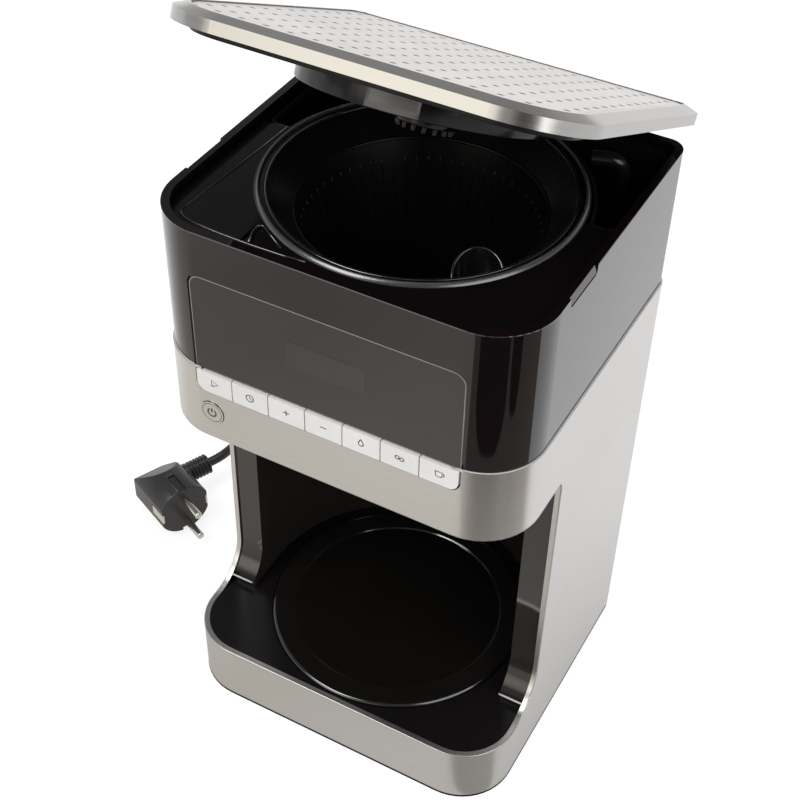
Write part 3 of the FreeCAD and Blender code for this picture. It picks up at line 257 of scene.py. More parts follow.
# Floor: its glow in reflections, and the glow behind and to the left, each with a direction and a span along it;
# spots of painted shade in its reflection, close to the machine and in front, have a middle, a span of distances and
# a factor
white = (1, 1, 1, 1)
floor_reach = 30.0
floor_seen_grey = 0.25
floor_seen_glow = 0.8
floor_mirror_grey = 0.15
floor_front_glow = (0.58, 0.55, 0.49, 1)
floor_lights = [
    ((0.8, 0.6, 0), (-0.12, 0.22), (0.84, 0.84, 0.85, 1)),
    ((-1, 0.8, 0), (0.24, 0.50), (0.90, 0.90, 0.91, 1)),
]
floor_painted_shade_spots = [((0, -0.05, 0), (0.10, 0.27), 0.76), ((-0.25, -0.40, 0), (0.05, 0.16), 0.72)]

# Surroundings: the dark curtain and the bright window have a direction, a span of its cosine and a glow
horizon_glow = 0.6
sky_dim = 0.14
sky_span = (0.28, 0.55)
soft_glow = 0.6
studio_lights = [
    ((0.478, -0.828, 0.29), (0.94, 0.99), (0.10, 0.09, 0.08, 1)),
    ((-0.376, -0.885, 0.276), (0.94, 0.994), (2.20, 2.13, 1.90, 1)),
]

# Sheets that only reflections show: span of azimuths, near edge, far edge, height and glow
flag_bend = 0.05
flag_far = 0.9
flag_black = (0.02, 0.018, 0.016, 1)
flags = [
    ("flag_foot", (5, 85), 0.032, 0.120, 0.001, (0.36, 0.34, 0.32, 1)),
    ("flag_corner", (-3, 106), 0.165, flag_far, 0.002, (0.27, 0.24, 0.21, 1)),
    ("flag_front", (6, 53), 0.300, flag_far, 0.004, flag_black),
    ("flag_side", (57, 73), 0.340, flag_far, 0.004, flag_black),
]

# Lamps: place, size and power
lamp_aim = Vector((0, 0, 0.2))
lamps = [
    ("key", (-0.85, -1.2, 2.1), 1.2, 28),
    ("fill", (1.6, -0.6, 1.2), 1.4, 14),
    ("top", (0.1, 0.5, 2.1), 1.6, 16),
]

quarter = np.linspace(0, np.pi / 2, 13)
less_sin = 1 - np.sin(quarter)
less_cos = 1 - np.cos(quarter)
mirror_x = np.array([-1, 1, 1])

# Finishes by effect: colour or one number for a grey, roughness, other settings, and the solids that wear them
brushed_looks = {
    "brushed_steel": ((0.63, 0.62, 0.605), 0.30, dict(strength=0.45, depth=4e-6, Metallic=1.0, Anisotropic=0.7,
                      Anisotropic_Rotation=0.25), "steel_sleeve"),
    "lid_steel": ((0.42, 0.41, 0.395), 0.2, dict(strength=0.6, turn=lid_open, Metallic=1.0), "lid_frame"),
    "rolled_edge": ((0.50, 0.49, 0.475), 0.38, dict(strength=0.3, Metallic=1.0)),
    # Pale steel grey: the lip along the steel's top edge, and the painted highlights on the pillars' feet
    "steel_lip_and_glint": ((0.50, 0.49, 0.48), 0.5, dict(strength=0.3, Metallic=0.2)),
    # Pale grey for the painted reflection on the lid's skirt
    "skirt_sheen": ((0.12, 0.112, 0.107), 0.25, dict(strength=0.3)),
    "bright_metal": ((0.66, 0.65, 0.62), 0.2, dict(strength=0.5, Metallic=1.0), "power_button", "power_ring"),
    "plain_steel": (0.5, 0.35, dict(strength=0.5, Metallic=1.0), "heater_clamp", "thermostat",
                    "drip_spring", "hinge_pins", "base_screws", "clamp_screws", "cover_screws", "lid_screws",
                    "hose_clips", "heating_rod", "thermal_fuses"),
    "contact_metal": ((0.75, 0.73, 0.69), 0.18, dict(strength=0.3, Metallic=1.0), "plug_pins", "earth_clips"),
}
moulded_looks = {
    "dotted_plate": ((0.735, 0.705, 0.68), 0.34, dict(strength=0.3, Metallic=0.9), "lid_panel"),
    "black_gloss": ((0.0045, 0.0026, 0.0033), 0.05, dict(strength=0.2, Coat_Weight=0.30, Coat_Roughness=0.03),
                    "upper_shell"),
    "black_inner": ((0.004, 0.0032, 0.0032), 0.14, dict(strength=0.6, Specular_IOR_Level=0.3), "top_deck",
                    "steam_skirt", "shower_channel", "shower_head"),
    "black_rim": ((0.006, 0.0055, 0.005), 0.10, dict(strength=0.2, Specular_IOR_Level=1.0, Coat_Weight=1.0,
                                                     Coat_Roughness=0.1)),
    # A paler black than the rim's: the bevel's gloss, partly with a painted sheen in its colour
    "black_bevel_sheen": ((0.028, 0.027, 0.026), 0.24, dict(strength=0.2, Specular_IOR_Level=1.0, Coat_Weight=1.0,
                                                      Coat_Roughness=0.22)),
    "black_cup": ((0.0035, 0.0028, 0.0026), 0.28, dict(strength=0.6, Specular_IOR_Level=0.3), "filter_basket"),
    "bay_lining": ((0.020, 0.0165, 0.0155), 0.06, dict(strength=0.2, Coat_Weight=0.2), "bay_liner"),
    "black_satin": ((0.006, 0.0050, 0.0054), 0.24, dict(strength=0.5, Specular_IOR_Level=0.2), "base_deck",
                    "button_carrier"),
    "black_under": ((0.003, 0.0028, 0.0026), 0.35, dict(Specular_IOR_Level=0.2), "lid_liner"),
    "black_matte": ((0.014, 0.0135, 0.013), 0.48, dict(depth=2e-5), "base_pan", "bay_ceiling", "rear_cover",
                    "cord_gland", "check_valve", "drip_valve"),
    # Dark black for the gap beside the display window, and for the painted shadows at the power button and along the
    # foot of the steel
    "gap_and_shadow_black": (0.002, 0.6, dict(Specular_IOR_Level=0.1)),
    "mark_grey": (0.06, 0.5, {}),
    "window_dark": ((0.0145, 0.0118, 0.0124), 0.05, dict(strength=0.2, Coat_Weight=0.42), "display_window"),
    # Pale grey for the painted highlight on the window's edge
    "window_glint": ((0.17, 0.165, 0.16), 0.2, dict(strength=0.3, Coat_Weight=1.0)),
    "display_screen": ((0.0215, 0.0175, 0.0160), 0.06, dict(strength=0.2, Coat_Weight=0.42)),
    "display_grey": ((0.3, 0.32, 0.3), 0.3, {}, "display_module"),
    "plate_black": ((0.005, 0.0045, 0.004), 0.13, dict(depth=3e-6), "hot_plate"),
    "button_white": ((0.68, 0.67, 0.655), 0.30, dict(strength=0.4, depth=3e-6),
                     *["button_%d" % i for i in range(1, 8)]),
    "cast_alloy": (0.55, 0.5, dict(depth=2e-5, Metallic=1.0), "heater_block"),
    "seal_rubber": (0.03, 0.65, dict(depth=2e-5), "plate_seal", "valve_seal", "feet"),
    "hose_rubber": ((0.55, 0.53, 0.50), 0.5, dict(depth=1e-5), "cold_hose", "hot_hose", "wire_loom"),
    "tank_plastic": (0.008, 0.2, {}, "water_tank", "riser_tube"),
    "board_green": ((0.02, 0.12, 0.05), 0.4, {}, "control_board", "tact_switches"),
    "cord_black": ((0.012, 0.0115, 0.011), 0.40, dict(depth=1e-5), "cord_tail", "cord_coil", "cord_lead"),
    "plug_black": ((0.027, 0.0255, 0.026), 0.27, dict(depth=1e-5), "plug_body"),
}

# Radius that softens the edges of a solid, so that they catch the light
edge_radius = {"plug_body": 0.0007, "lid_liner": 0.0005, "steam_skirt": 0.0005, "shower_head": 0.0003}
edge_join = 5e-6
edge_angle = math.radians(35)


def make_camera():
    """Camera at the viewing angle of the photograph."""
    data = bpy.data.cameras.new("camera")
    data.sensor_width = camera_sensor
    data.lens = camera_lens
    camera = bpy.data.objects.new("camera", data)
    scene.collection.objects.link(camera)
    heading = Matrix.Rotation(camera_heading, 4, "Z")
    tilt = Matrix.Rotation(math.pi / 2 - camera_down, 4, "X")
    roll = Matrix.Rotation(camera_roll, 4, "Z")
    camera.matrix_world = Matrix.Translation(camera_place) @ heading @ tilt @ roll
    scene.camera = camera


# Points, faces and pieces

def xyz(x, y, z):
    """Points from their coordinates, each an array or one number for all."""
    return np.stack(np.broadcast_arrays(x, y, z), axis=-1)


def grid_faces(rows, columns, ring=False, tube=False):
    """Four-cornered faces between neighbours on a grid of points; a ring joins the last row to the first, and a
    tube the last column to the first."""
    row = np.arange(rows if ring else rows - 1)
    column = np.arange(columns if tube else columns - 1)
    r, c = np.meshgrid(row, column, indexing="ij")
    below = (r + 1) % rows
    beside = (c + 1) % columns
    corners = [r * columns + c, below * columns + c, below * columns + beside, r * columns + beside]
    return np.stack(corners, axis=-1).reshape(-1, 4).tolist()


def tube_faces(rows, sides, closed):
    """Faces of a round section carried along a path, with a flat cap at each end of an open one."""
    faces = grid_faces(rows, sides, ring=closed, tube=True)
    if not closed:
        faces.append(list(range(sides)))
        faces.append(list(range(rows * sides - 1, (rows - 1) * sides - 1, -1)))
    return faces


def joined(parts):
    """Points and faces of several shapes as those of one."""
    starts = np.cumsum([0] + [len(points) for points, faces in parts]).tolist()
    faces = [[corner + start for corner in face] for start, part in zip(starts, parts) for face in part[1]]
    return np.concatenate([points for points, faces in parts]), faces


def new_object(name, points, faces, material):
    """Mesh object at the origin from points and faces."""
    mesh = bpy.data.meshes.new(name)
    mesh.from_pydata(points.tolist(), [], faces)
    mesh.materials.append(material)
    made = bpy.data.objects.new(name, mesh)
    scene.collection.objects.link(made)
    return made


def make_piece(name, shape, finish, body="machine", smooth=True):
    """Piece of the machine from points and faces, riding on a body of the model."""
    points, faces = shape
    piece = new_object(name, points, faces, finish)
    polygons = piece.data.polygons
    polygons.foreach_set("use_smooth", np.full(len(polygons), smooth))
    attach(piece, body)
    return piece


def thicken(piece, thickness, offset):
    """Gives a sheet a wall, as a modifier."""
    wall = piece.modifiers.new("thickness", "SOLIDIFY")
    wall.thickness = thickness
    wall.offset = offset


def turned_open(points):
    """Points of the closed lid, turned about the hinge line to the open lid of the model."""
    y = points[:, 1] - hinge_y
    z = points[:, 2] - hinge_z
    turned_y = hinge_y + y * math.cos(lid_open) + z * math.sin(lid_open)
    turned_z = hinge_z - y * math.sin(lid_open) + z * math.cos(lid_open)
    return xyz(points[:, 0], turned_y, turned_z)


# Nodes

def add(tree, kind, inputs=(), **settings):
    """Shader node with settings; its inputs are sockets or plain values, given by place or by name."""
    made = tree.nodes.new("ShaderNode" + kind)
    for name, value in settings.items():
        setattr(made, name, value)
    for key, value in inputs.items() if isinstance(inputs, dict) else enumerate(inputs):
        if isinstance(value, bpy.types.NodeSocket):
            tree.links.new(value, made.inputs[key])
        else:
            made.inputs[key].default_value = value
    return made


def maths(tree, operation, *inputs):
    """Output of a math node on sockets or plain numbers."""
    return add(tree, "Math", inputs, operation=operation).outputs[0]


def graded(tree, value, span, start=0.0, end=1.0):
    """Output of a map from a span of a value to another range, held at its ends."""
    inputs = {"Value": value, "From Min": span[0], "From Max": span[1], "To Min": start, "To Max": end}
    return add(tree, "MapRange", inputs).outputs["Result"]


def mixed(tree, factor, first, second, blend="MIX"):
    """Output of a colour mix; the two colours are sockets or plain colours."""
    return add(tree, "Mix", {0: factor, 6: first, 7: second}, data_type="RGBA", blend_type=blend).outputs[2]


def bare_tree(owner):
    """Node tree of a material or of the world, with nothing in it."""
    owner.use_nodes = True
    owner.node_tree.nodes.clear()
    return owner.node_tree


# Stage and light

def show_by_ray(tree, output, plain, mirrored, seen):
    """Joins three shaders to the output: one that reflections show, one that the camera sees, also through clear
    pieces, and a plain one for all other light."""
    path = add(tree, "LightPath").outputs
    shiny = add(tree, "MixShader", [path["Is Glossy Ray"], plain, mirrored]).outputs[0]
    clear = maths(tree, "MAXIMUM", path["Is Camera Ray"], path["Is Transmission Ray"])
    shown = add(tree, "MixShader", [clear, shiny, seen]).outputs[0]
    tree.links.new(shown, add(tree, output).inputs["Surface"])


def glowing(tree, grey, glow, strength):
    """Output of a grey diffuse shader with a glow of its own."""
    parts = [add(tree, "BsdfDiffuse", [(grey, grey, grey, 1)]), add(tree, "Emission", [glow, strength])]
    return add(tree, "AddShader", [part.outputs[0] for part in parts]).outputs[0]


def lit_along(tree, place, glow, lights):
    """Glow that gives way to that of each light, over a span of the place's measure along the light's direction."""
    for way, span, light in lights:
        along = add(tree, "VectorMath", [place, way], operation="DOT_PRODUCT").outputs["Value"]
        glow = mixed(tree, graded(tree, along, span), glow, light)
    return glow


def make_floor():
    """Pale floor: white to the camera apart from the shadow, and in reflections a little warm and dim in front
    of the machine, brighter to both sides and behind it, and darker with painted shade close to it and in one patch
    in front."""
    material = bpy.data.materials.new("floor")
    tree = bare_tree(material)
    place = add(tree, "TexCoord").outputs["Object"]
    glow = lit_along(tree, place, floor_front_glow, floor_lights)
    # Painted shade: the reflected glow is darkened close to the machine and in a patch in front of it
    for middle, span, factor in floor_painted_shade_spots:
        away = add(tree, "VectorMath", [place, middle], operation="DISTANCE").outputs["Value"]
        glow = mixed(tree, 1.0, glow, graded(tree, away, span, factor), "MULTIPLY")
    mirrored = glowing(tree, floor_mirror_grey, glow, 1.0)
    seen = glowing(tree, floor_seen_grey, white, floor_seen_glow)
    show_by_ray(tree, "OutputMaterial", add(tree, "BsdfDiffuse").outputs[0], mirrored, seen)
    corners = floor_reach * np.array([(-1, -1, 0), (1, -1, 0), (1, 1, 0), (-1, 1, 0)])
    new_object("floor", corners, [(0, 1, 2, 3)], material)


def make_flags():
    """Sheets in front of the right corner, which the gloss black shell and the steel show as upright bands: a broad
    brown one with two black ones over it, and a small grey one at the foot. Each is a fan about the body's corner,
    and its distance runs from a near edge, pulled out at the two sides, to a far edge."""
    across, along = np.meshgrid(np.linspace(-1, 1, 17), np.linspace(0, 1, 5), indexing="ij")
    for name, azimuths, near, far, height, glow in flags:
        material = bpy.data.materials.new(name)
        tree = bare_tree(material)
        shine = add(tree, "Emission", [glow, 1.0])
        tree.links.new(shine.outputs[0], add(tree, "OutputMaterial").inputs["Surface"])
        azimuth = np.radians(np.mean(azimuths) + across * np.ptp(azimuths) / 2)
        start = near + flag_bend * across ** 4
        distance = start + (far - start) * along
        x = half_w - corner_r + distance * np.sin(azimuth)
        y = front_y + corner_r - distance * np.cos(azimuth)
        flag = new_object(name, xyz(x, y, height).reshape(-1, 3), grid_faces(*x.shape), material)
        for ray in ("camera", "diffuse", "shadow", "transmission"):
            setattr(flag, "visible_" + ray, False)


def make_world():
    """White surroundings: plain white to the camera, soft light on the object, and for reflections a studio that
    is bright round the horizon, dark overhead, and has one warm bright window at the front left with a dark
    curtain beside it."""
    scene.world = bpy.data.worlds.new("studio")
    tree = bare_tree(scene.world)
    way = add(tree, "TexCoord").outputs["Generated"]
    up = add(tree, "SeparateXYZ", [way]).outputs[2]
    lit = lit_along(tree, way, graded(tree, up, sky_span, horizon_glow, sky_dim), studio_lights)
    shades = ((white, soft_glow), (lit, 1.0), (white, 1.0))
    show_by_ray(tree, "OutputWorld", *[add(tree, "Background", shade).outputs[0] for shade in shades])


def make_lamps():
    """Soft square lamps, all aimed at the middle of the machine."""
    for name, place, size, power in lamps:
        data = bpy.data.lights.new(name, "AREA")
        data.size = size
        data.energy = power
        lamp = bpy.data.objects.new(name, data)
        lamp.location = place
        lamp.rotation_euler = (lamp_aim - Vector(place)).to_track_quat("-Z", "Y").to_euler()
        scene.collection.objects.link(lamp)


# Finishes

def new_group(name):
    """Shader node group that takes a place, a colour, a roughness and a strength, and gives a colour, a roughness
    and a height; with what takes its results, and the four sockets it is given."""
    tree = bpy.data.node_groups.new(name, "ShaderNodeTree")
    for label, kind in (("Place", "Vector"), ("Colour", "Color"), ("Roughness", "Float"), ("Strength", "Float")):
        tree.interface.new_socket(label, in_out="INPUT", socket_type="NodeSocket" + kind)
    for label, kind in (("Colour", "Color"), ("Roughness", "Float"), ("Height", "Float")):
        tree.interface.new_socket(label, in_out="OUTPUT", socket_type="NodeSocket" + kind)
    return tree, tree.nodes.new("NodeGroupOutput").inputs, *tree.nodes.new("NodeGroupInput").outputs[:4]


def noise(tree, place, stretch, scale, detail):
    """Noise over a place stretched by a vector, less its mean of one half."""
    mapped = add(tree, "Mapping", {"Vector": place, "Scale": stretch}).outputs[0]
    made = add(tree, "TexNoise", {"Vector": mapped, "Scale": scale, "Detail": detail})
    return maths(tree, "SUBTRACT", made.outputs["Fac"], 0.5)


def close_group(tree, results, *sockets):
    """Joins the colour, the roughness and the height to the group's output."""
    for result, socket in zip(results, sockets):
        tree.links.new(socket, result)
    return tree


def brushed_effect():
    """Fine level brush lines: noise drawn out along X and Y and packed tight in Z, over slow patches."""
    tree, results, place, colour, rough, strength = new_group("brushed")
    fine = noise(tree, place, (5, 5, 3000), 1.0, 3.0)
    broad = noise(tree, place, (2, 2, 500), 1.0, 2.0)
    patches = noise(tree, place, (1, 1, 1), 14.0, 2.0)
    both = maths(tree, "MULTIPLY_ADD", fine, 0.7, maths(tree, "MULTIPLY", broad, 0.3))
    lines = maths(tree, "MULTIPLY", both, strength)
    shade = mixed(tree, 1.0, colour, maths(tree, "MULTIPLY_ADD", lines, 0.5, 1.0), "MULTIPLY")
    uneven = maths(tree, "MULTIPLY_ADD", patches, 0.08, rough)
    return close_group(tree, results, shade, maths(tree, "MULTIPLY_ADD", lines, 0.25, uneven), lines)


def moulded_effect():
    """Moulded plastic: fine grain in the height, faint cloudy colour, and handled patches in the gloss."""
    tree, results, place, colour, rough, strength = new_group("moulded")
    grain = noise(tree, place, (1, 1, 1), 1400.0, 2.0)
    cloud = noise(tree, place, (1, 1, 1), 28.0, 3.0)
    smear = maths(tree, "MULTIPLY", noise(tree, place, (1, 1, 0.35), 60.0, 4.0), strength)
    shade = mixed(tree, 1.0, colour, maths(tree, "MULTIPLY_ADD", cloud, 0.25, 1.0), "MULTIPLY")
    return close_group(tree, results, shade, maths(tree, "MULTIPLY_ADD", smear, 0.25, rough), grain)


def make_finish(name, colour, rough, effect, strength=1.0, depth=0.0, turn=0.0, **fixed):
    """Material of one finish: an effect over Object coordinates drives colour, roughness and a fine bump, and
    what is the same all over is set on the shader. The coordinates of the open lid are turned back to level."""
    material = bpy.data.materials.new(name)
    material.use_nodes = True
    tree = material.node_tree
    shader = tree.nodes["Principled BSDF"]
    place = add(tree, "TexCoord").outputs["Object"]
    if turn:
        place = add(tree, "Mapping", {"Vector": place, "Rotation": (turn, 0, 0)}).outputs[0]
    inputs = {"Place": place, "Colour": (*np.broadcast_to(colour, 3), 1), "Roughness": rough, "Strength": strength}
    surface = add(tree, "Group", inputs, node_tree=effect).outputs
    tree.links.new(surface["Colour"], shader.inputs["Base Color"])
    tree.links.new(surface["Roughness"], shader.inputs["Roughness"])
    if depth > 0:
        bump = add(tree, "Bump", {"Strength": 1.0, "Distance": depth, "Height": surface["Height"]})
        tree.links.new(bump.outputs["Normal"], shader.inputs["Normal"])
    for socket, value in fixed.items():
        shader.inputs[socket.replace("_", " ")].default_value = value
    return material


def paint_dot_shade(material):
    """Painted shade in the dimples: mixes the colour of a plate towards a darker one where its dot attribute is set.
    """
    tree = material.node_tree
    shader = tree.nodes["Principled BSDF"]
    plain = shader.inputs["Base Color"].links[0].from_socket
    dot = add(tree, "Attribute", attribute_name="dot").outputs["Fac"]
    tree.links.new(mixed(tree, dot, plain, dot_painted_shade), shader.inputs["Base Color"])


def make_finishes():
    """Every finish of the machine by its name, given to the solids that wear it."""
    made = {}
    for effect, looks in ((brushed_effect(), brushed_looks), (moulded_effect(), moulded_looks)):
        for name, (colour, rough, settings, *solids) in looks.items():
            made[name] = make_finish(name, colour, rough, effect, **settings)
            for solid in solids:
                nodes[solid].data.materials.clear()
                nodes[solid].data.materials.append(made[name])
    paint_dot_shade(made["dotted_plate"])
    return made


def soften_edges():
    """Joins the triangles of a solid and rounds its edges, as modifiers on the solid."""
    for name, radius in edge_radius.items():
        join = nodes[name].modifiers.new("join", "WELD")
        join.merge_threshold = edge_join
        soft = nodes[name].modifiers.new("soft_edges", "BEVEL")
        soft.width = radius
        soft.segments = 3
        soft.limit_method = "ANGLE"
        soft.angle_limit = edge_angle
        soft.use_clamp_overlap = False
        soft.harden_normals = True


# Shapes carried along a path or turned about an upright line

def side_ways(path, outward, closed):
    """Direction square to a path and to the outward direction, at every point of the path."""
    ahead = np.roll(path, -1, axis=0) - np.roll(path, 1, axis=0) if closed else np.gradient(path, axis=0)
    across = np.cross(outward, ahead)
    return across / np.linalg.norm(across, axis=1, keepdims=True)


def bead(path, outward, width, height=None, closed=False, sides=10):
    """Oval section carried along a path: round the path, half a width to the side times the sine of an angle and
    half a height outwards times its cosine. Outward direction, width and height are one for all, or one for each
    point, and a height left out is the width."""
    outward = np.broadcast_to(outward, path.shape)
    height = width if height is None else height
    angle = np.linspace(0, 2 * np.pi, sides, endpoint=False)
    rise = np.reshape(height, (-1, 1)) / 2 * np.cos(angle)
    swing = np.reshape(width, (-1, 1)) / 2 * np.sin(angle)
    out = outward[:, None, :] * rise[:, :, None]
    side = side_ways(path, outward, closed)[:, None, :] * swing[:, :, None]
    points = (path[:, None, :] + out + side).reshape(-1, 3)
    return points, tube_faces(len(path), sides, closed)


def turned(radius, height, middle, closed=True, steps=160):
    """Profile turned about an upright line: radius times the cosine and sine of an angle, at the profile's height.
    An open profile that starts and ends at the middle gets a flat cap at each end."""
    angle = np.linspace(0, 2 * np.pi, steps, endpoint=False)
    x = middle[0] + radius[:, None] * np.cos(angle)
    y = middle[1] + radius[:, None] * np.sin(angle)
    return xyz(x, y, height[:, None]).reshape(-1, 3), tube_faces(len(radius), steps, closed)


def ring(radius, height, wide, high, middle):
    """Turned ring of oval section about a circle of a radius at a height."""
    angle = np.linspace(0, 2 * np.pi, 18, endpoint=False)
    return turned(radius + wide / 2 * np.sin(angle), height + high / 2 * np.cos(angle), middle)


def bend(half, edge, r, way=1):
    """X and Y round a corner, from the front or back edge of an outline to its side: the half width less the radius
    times one less the sine of the turn, and in from the edge by the radius times one less its cosine."""
    return half - r * less_sin, edge + way * r * less_cos


def right_side(half, front, front_r, back, back_r):
    """X and Y along the right of an outline: round its front corner and on round its back one."""
    x, y = bend(half, front, front_r)
    back_x, back_bend = bend(half, back, back_r, -1)
    return np.r_[x, back_x[::-1]], np.r_[y, back_bend[::-1]]


# Cord

def coil_points():
    """Points of the coil, sixteen to the turn: the radius shrinks for one turn, the cord climbs onto itself
    over the next half turn, and then the radius grows again on the upper layer."""
    turn = np.arange(1, round(coil_turns * coil_steps) + 1) / coil_steps
    inner = coil_r - coil_pitch
    past = turn - 1
    climb = inner + 2 * coil_pitch * past * (past - 0.5)
    upper = np.where(past < 0.5, climb, inner + coil_pitch * (past - 0.5))
    radius = np.where(past < 0, coil_r - coil_pitch * turn, upper)
    lift = (1 - np.cos(2 * np.pi * np.clip(past, 0, 0.5))) / 2
    x = coil_mid[0] + radius * np.cos(2 * np.pi * turn)
    y = coil_mid[1] + radius * np.sin(2 * np.pi * turn)
    return xyz(x, y, cord_rest_z + coil_layer * lift)


def cord_route():
    """Points of the cord in order: out of the sleeve, down to the floor, round the coil, along the floor behind the
    body and up to the plug, with the last two in line with the sleeve of the turned plug."""
    x, y, z = gland_mid_x, gland_high.y, gland_mid_z
    tail = [(x, y, z), (x, y + tail_straight, z), (x, y + tail_down, cord_rest_z), (x, tail_end_y, cord_rest_z)]
    coil = coil_points()
    across, along = plug_entry.T
    end_x = plug_place[0] + across * math.cos(plug_turn) - along * math.sin(plug_turn)
    end_y = plug_place[1] + across * math.sin(plug_turn) + along * math.cos(plug_turn)
    end = xyz(end_x, end_y, plug_place[2])
    return np.concatenate([tail, coil, [coil[-1] - coil_leave], lead_points, end])


def make_cord(finish):
    """Power cord as one smooth line with a round section."""
    points = cord_route()
    curve = bpy.data.curves.new("power_cord", "CURVE")
    curve.dimensions = "3D"
    curve.bevel_depth = cord_r
    curve.bevel_resolution = 5
    curve.resolution_u = 10
    curve.use_fill_caps = True
    spline = curve.splines.new("NURBS")
    spline.points.add(len(points) - 1)
    spline.points.foreach_set("co", np.column_stack([points, np.ones(len(points))]).ravel())
    spline.order_u = 3
    spline.use_endpoint_u = True
    curve.materials.append(finish)
    cord = bpy.data.objects.new("power_cord", curve)
    scene.collection.objects.link(cord)
    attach(cord, "machine")
    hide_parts("cord_tail", "cord_coil", "cord_lead")


def make_cord_tie(finish):
    """Flat tie round the two strands of the coil that lie on each other, an oval loop square to the cord."""
    angle = np.linspace(0, 2 * np.pi, tie_steps, endpoint=False)
    across, upright = [np.sign(part) * np.abs(part) ** tie_round for part in (np.cos(angle), np.sin(angle))]
    path = xyz(coil_mid[0], tie_mid_y + tie_half_w * across, tie_mid_z + tie_half_h * upright)
    out = xyz(0, np.cos(angle), np.sin(angle))
    make_piece("cord_tie", bead(path, out, *tie_size, True), finish)


# Lid

def dot_lines(centres, low, high):
    """Grid lines along one side of the plate: nine across every dot, and the two ends."""
    lines = (centres[:, None] + np.linspace(-1.0, 1.0, 9) * dot_reach).ravel()
    return np.unique(np.r_[low, lines, high])


def rounded_reach(distance, r):
    """Half width of the plate at a distance from one end: full, less what a corner of radius r takes away."""
    short = np.clip(r - distance, 0, r)
    return panel_half_w - r + np.sqrt(r ** 2 - short ** 2)


def make_panel(finish):
    """Lid plate with a square grid of round dimples. Height is a flat plane less a smooth cup at every dot,
    cosine shaped within the dot's radius. Lines of the grid stop at the rounded outline. A dot attribute, the cup
    made sharper, marks where the dimples get painted shade."""
    column = (np.arange(dot_columns) - (dot_columns - 1) / 2) * dot_pitch
    row = front_y + dot_first_row + np.arange(dot_rows) * dot_pitch
    xs = dot_lines(column, -panel_half_w, panel_half_w)
    front_bend = bend(panel_half_w, panel_front_y, panel_front_r)[1]
    back_bend = bend(panel_half_w, panel_back_y, panel_back_r, -1)[1]
    ys = np.unique(np.r_[dot_lines(row, panel_front_y, panel_back_y), front_bend, back_bend])
    x, y = np.meshgrid(xs, ys, indexing="ij")
    reach = np.minimum(rounded_reach(y - panel_front_y, panel_front_r), rounded_reach(panel_back_y - y, panel_back_r))
    x = np.clip(x, -reach, reach)
    off_x = np.abs(x[..., None] - column).min(axis=-1)
    off_y = np.abs(y[..., None] - row).min(axis=-1)
    off = np.clip(np.hypot(off_x, off_y) / dot_r, 0, 1)
    inside = np.abs(x) < reach - dot_r
    cup = np.where(inside, (1 + np.cos(np.pi * off)) / 2, 0)
    points = turned_open(xyz(x, y, panel_top_z - dot_depth * cup).reshape(-1, 3))
    panel = make_piece("lid_dotted_plate", (points, grid_faces(*x.shape)), finish, "lid")
    # Dot attribute: where the dimples get painted shade
    shade = panel.data.attributes.new("dot", "FLOAT", "POINT")
    shade.data.foreach_set("value", np.clip(cup * dot_sharp, 0, 1).ravel())
    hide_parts("lid_panel")
    thicken(panel, panel_t, -1)


def make_panel_gap(finish):
    """Dark line round the lid plate, a flat bead along a rectangle with rounded corners."""
    x, y = right_side(panel_half_w, panel_front_y, panel_front_r, panel_back_y, panel_back_r)
    half = xyz(x, y, panel_top_z)
    path = turned_open(np.concatenate([half, (half * mirror_x)[::-1]]))
    up = (0, -math.sin(lid_open), math.cos(lid_open))
    make_piece("plate_gap", bead(path, up, *panel_gap_size, True), finish, "lid")


def make_skirt_sheen(finish):
    """Painted reflection on the front of the lid's skirt: a pale curved plate, part of a cylinder just outside the
    skirt, by angle and height, with a wall of its own."""
    angle, z = np.meshgrid(np.radians(np.linspace(*sheen_turns, 15)), np.linspace(*sheen_z, 5), indexing="ij")
    x = sheen_r * np.cos(angle)
    y = sheen_mid_y + sheen_r * np.sin(angle)
    points = turned_open(xyz(x, y, z).reshape(-1, 3))
    sheen = make_piece("skirt_sheen", (points, grid_faces(*x.shape)[::-1]), finish, "lid")
    thicken(sheen, sheen_t, 0)


# Steel and base

def bay_edge():
    """Closed line round the bay on the outside of the body, and the direction out of the body along it. Half of it
    runs from the middle of the base round the front corner, up the curved foot and the pillar, and back round the
    corner under the band; the other half is its mirror image."""
    corner_x, corner_y = bend(half_w, front_y, corner_r)
    foot_y = bay_y - bay_foot_r * less_sin
    foot_z = base_top_z + bay_foot_r * less_cos
    top_y = bay_y - bay_top_r * less_cos
    top_z = band_low_z - bay_top_r * less_sin
    side = np.full(2 * quarter.size, half_w)
    x = np.r_[0, corner_x, side, corner_x[::-1], 0]
    y = np.r_[front_y, corner_y, foot_y, top_y, corner_y[::-1], front_y]
    low = np.full(quarter.size + 1, base_top_z)
    high = np.full(quarter.size + 1, band_low_z)
    turn = np.r_[0, quarter, np.full(side.size, np.pi / 2), quarter[::-1], 0]
    path = xyz(x, y, np.r_[low, foot_z, top_z, high])
    out = xyz(np.sin(turn), -np.cos(turn), 0)
    return [np.concatenate([half, (half * mirror_x)[-2:0:-1]]) for half in (path, out)]


def band_top_edge():
    """Line along the top edge of the steel, from the end of the button row round the front corner and along the
    side to the back corner, and the direction out of the body along it."""
    x, y = right_side(half_w, front_y, corner_r, back_y, back_corner_r)
    path = xyz(np.r_[button_end_x + band_hem_r, x], np.r_[front_y, y], band_top_z - band_hem_drop)
    turn = np.r_[0, quarter, np.pi / 2 + quarter]
    return path, xyz(np.sin(turn), -np.cos(turn), 0)


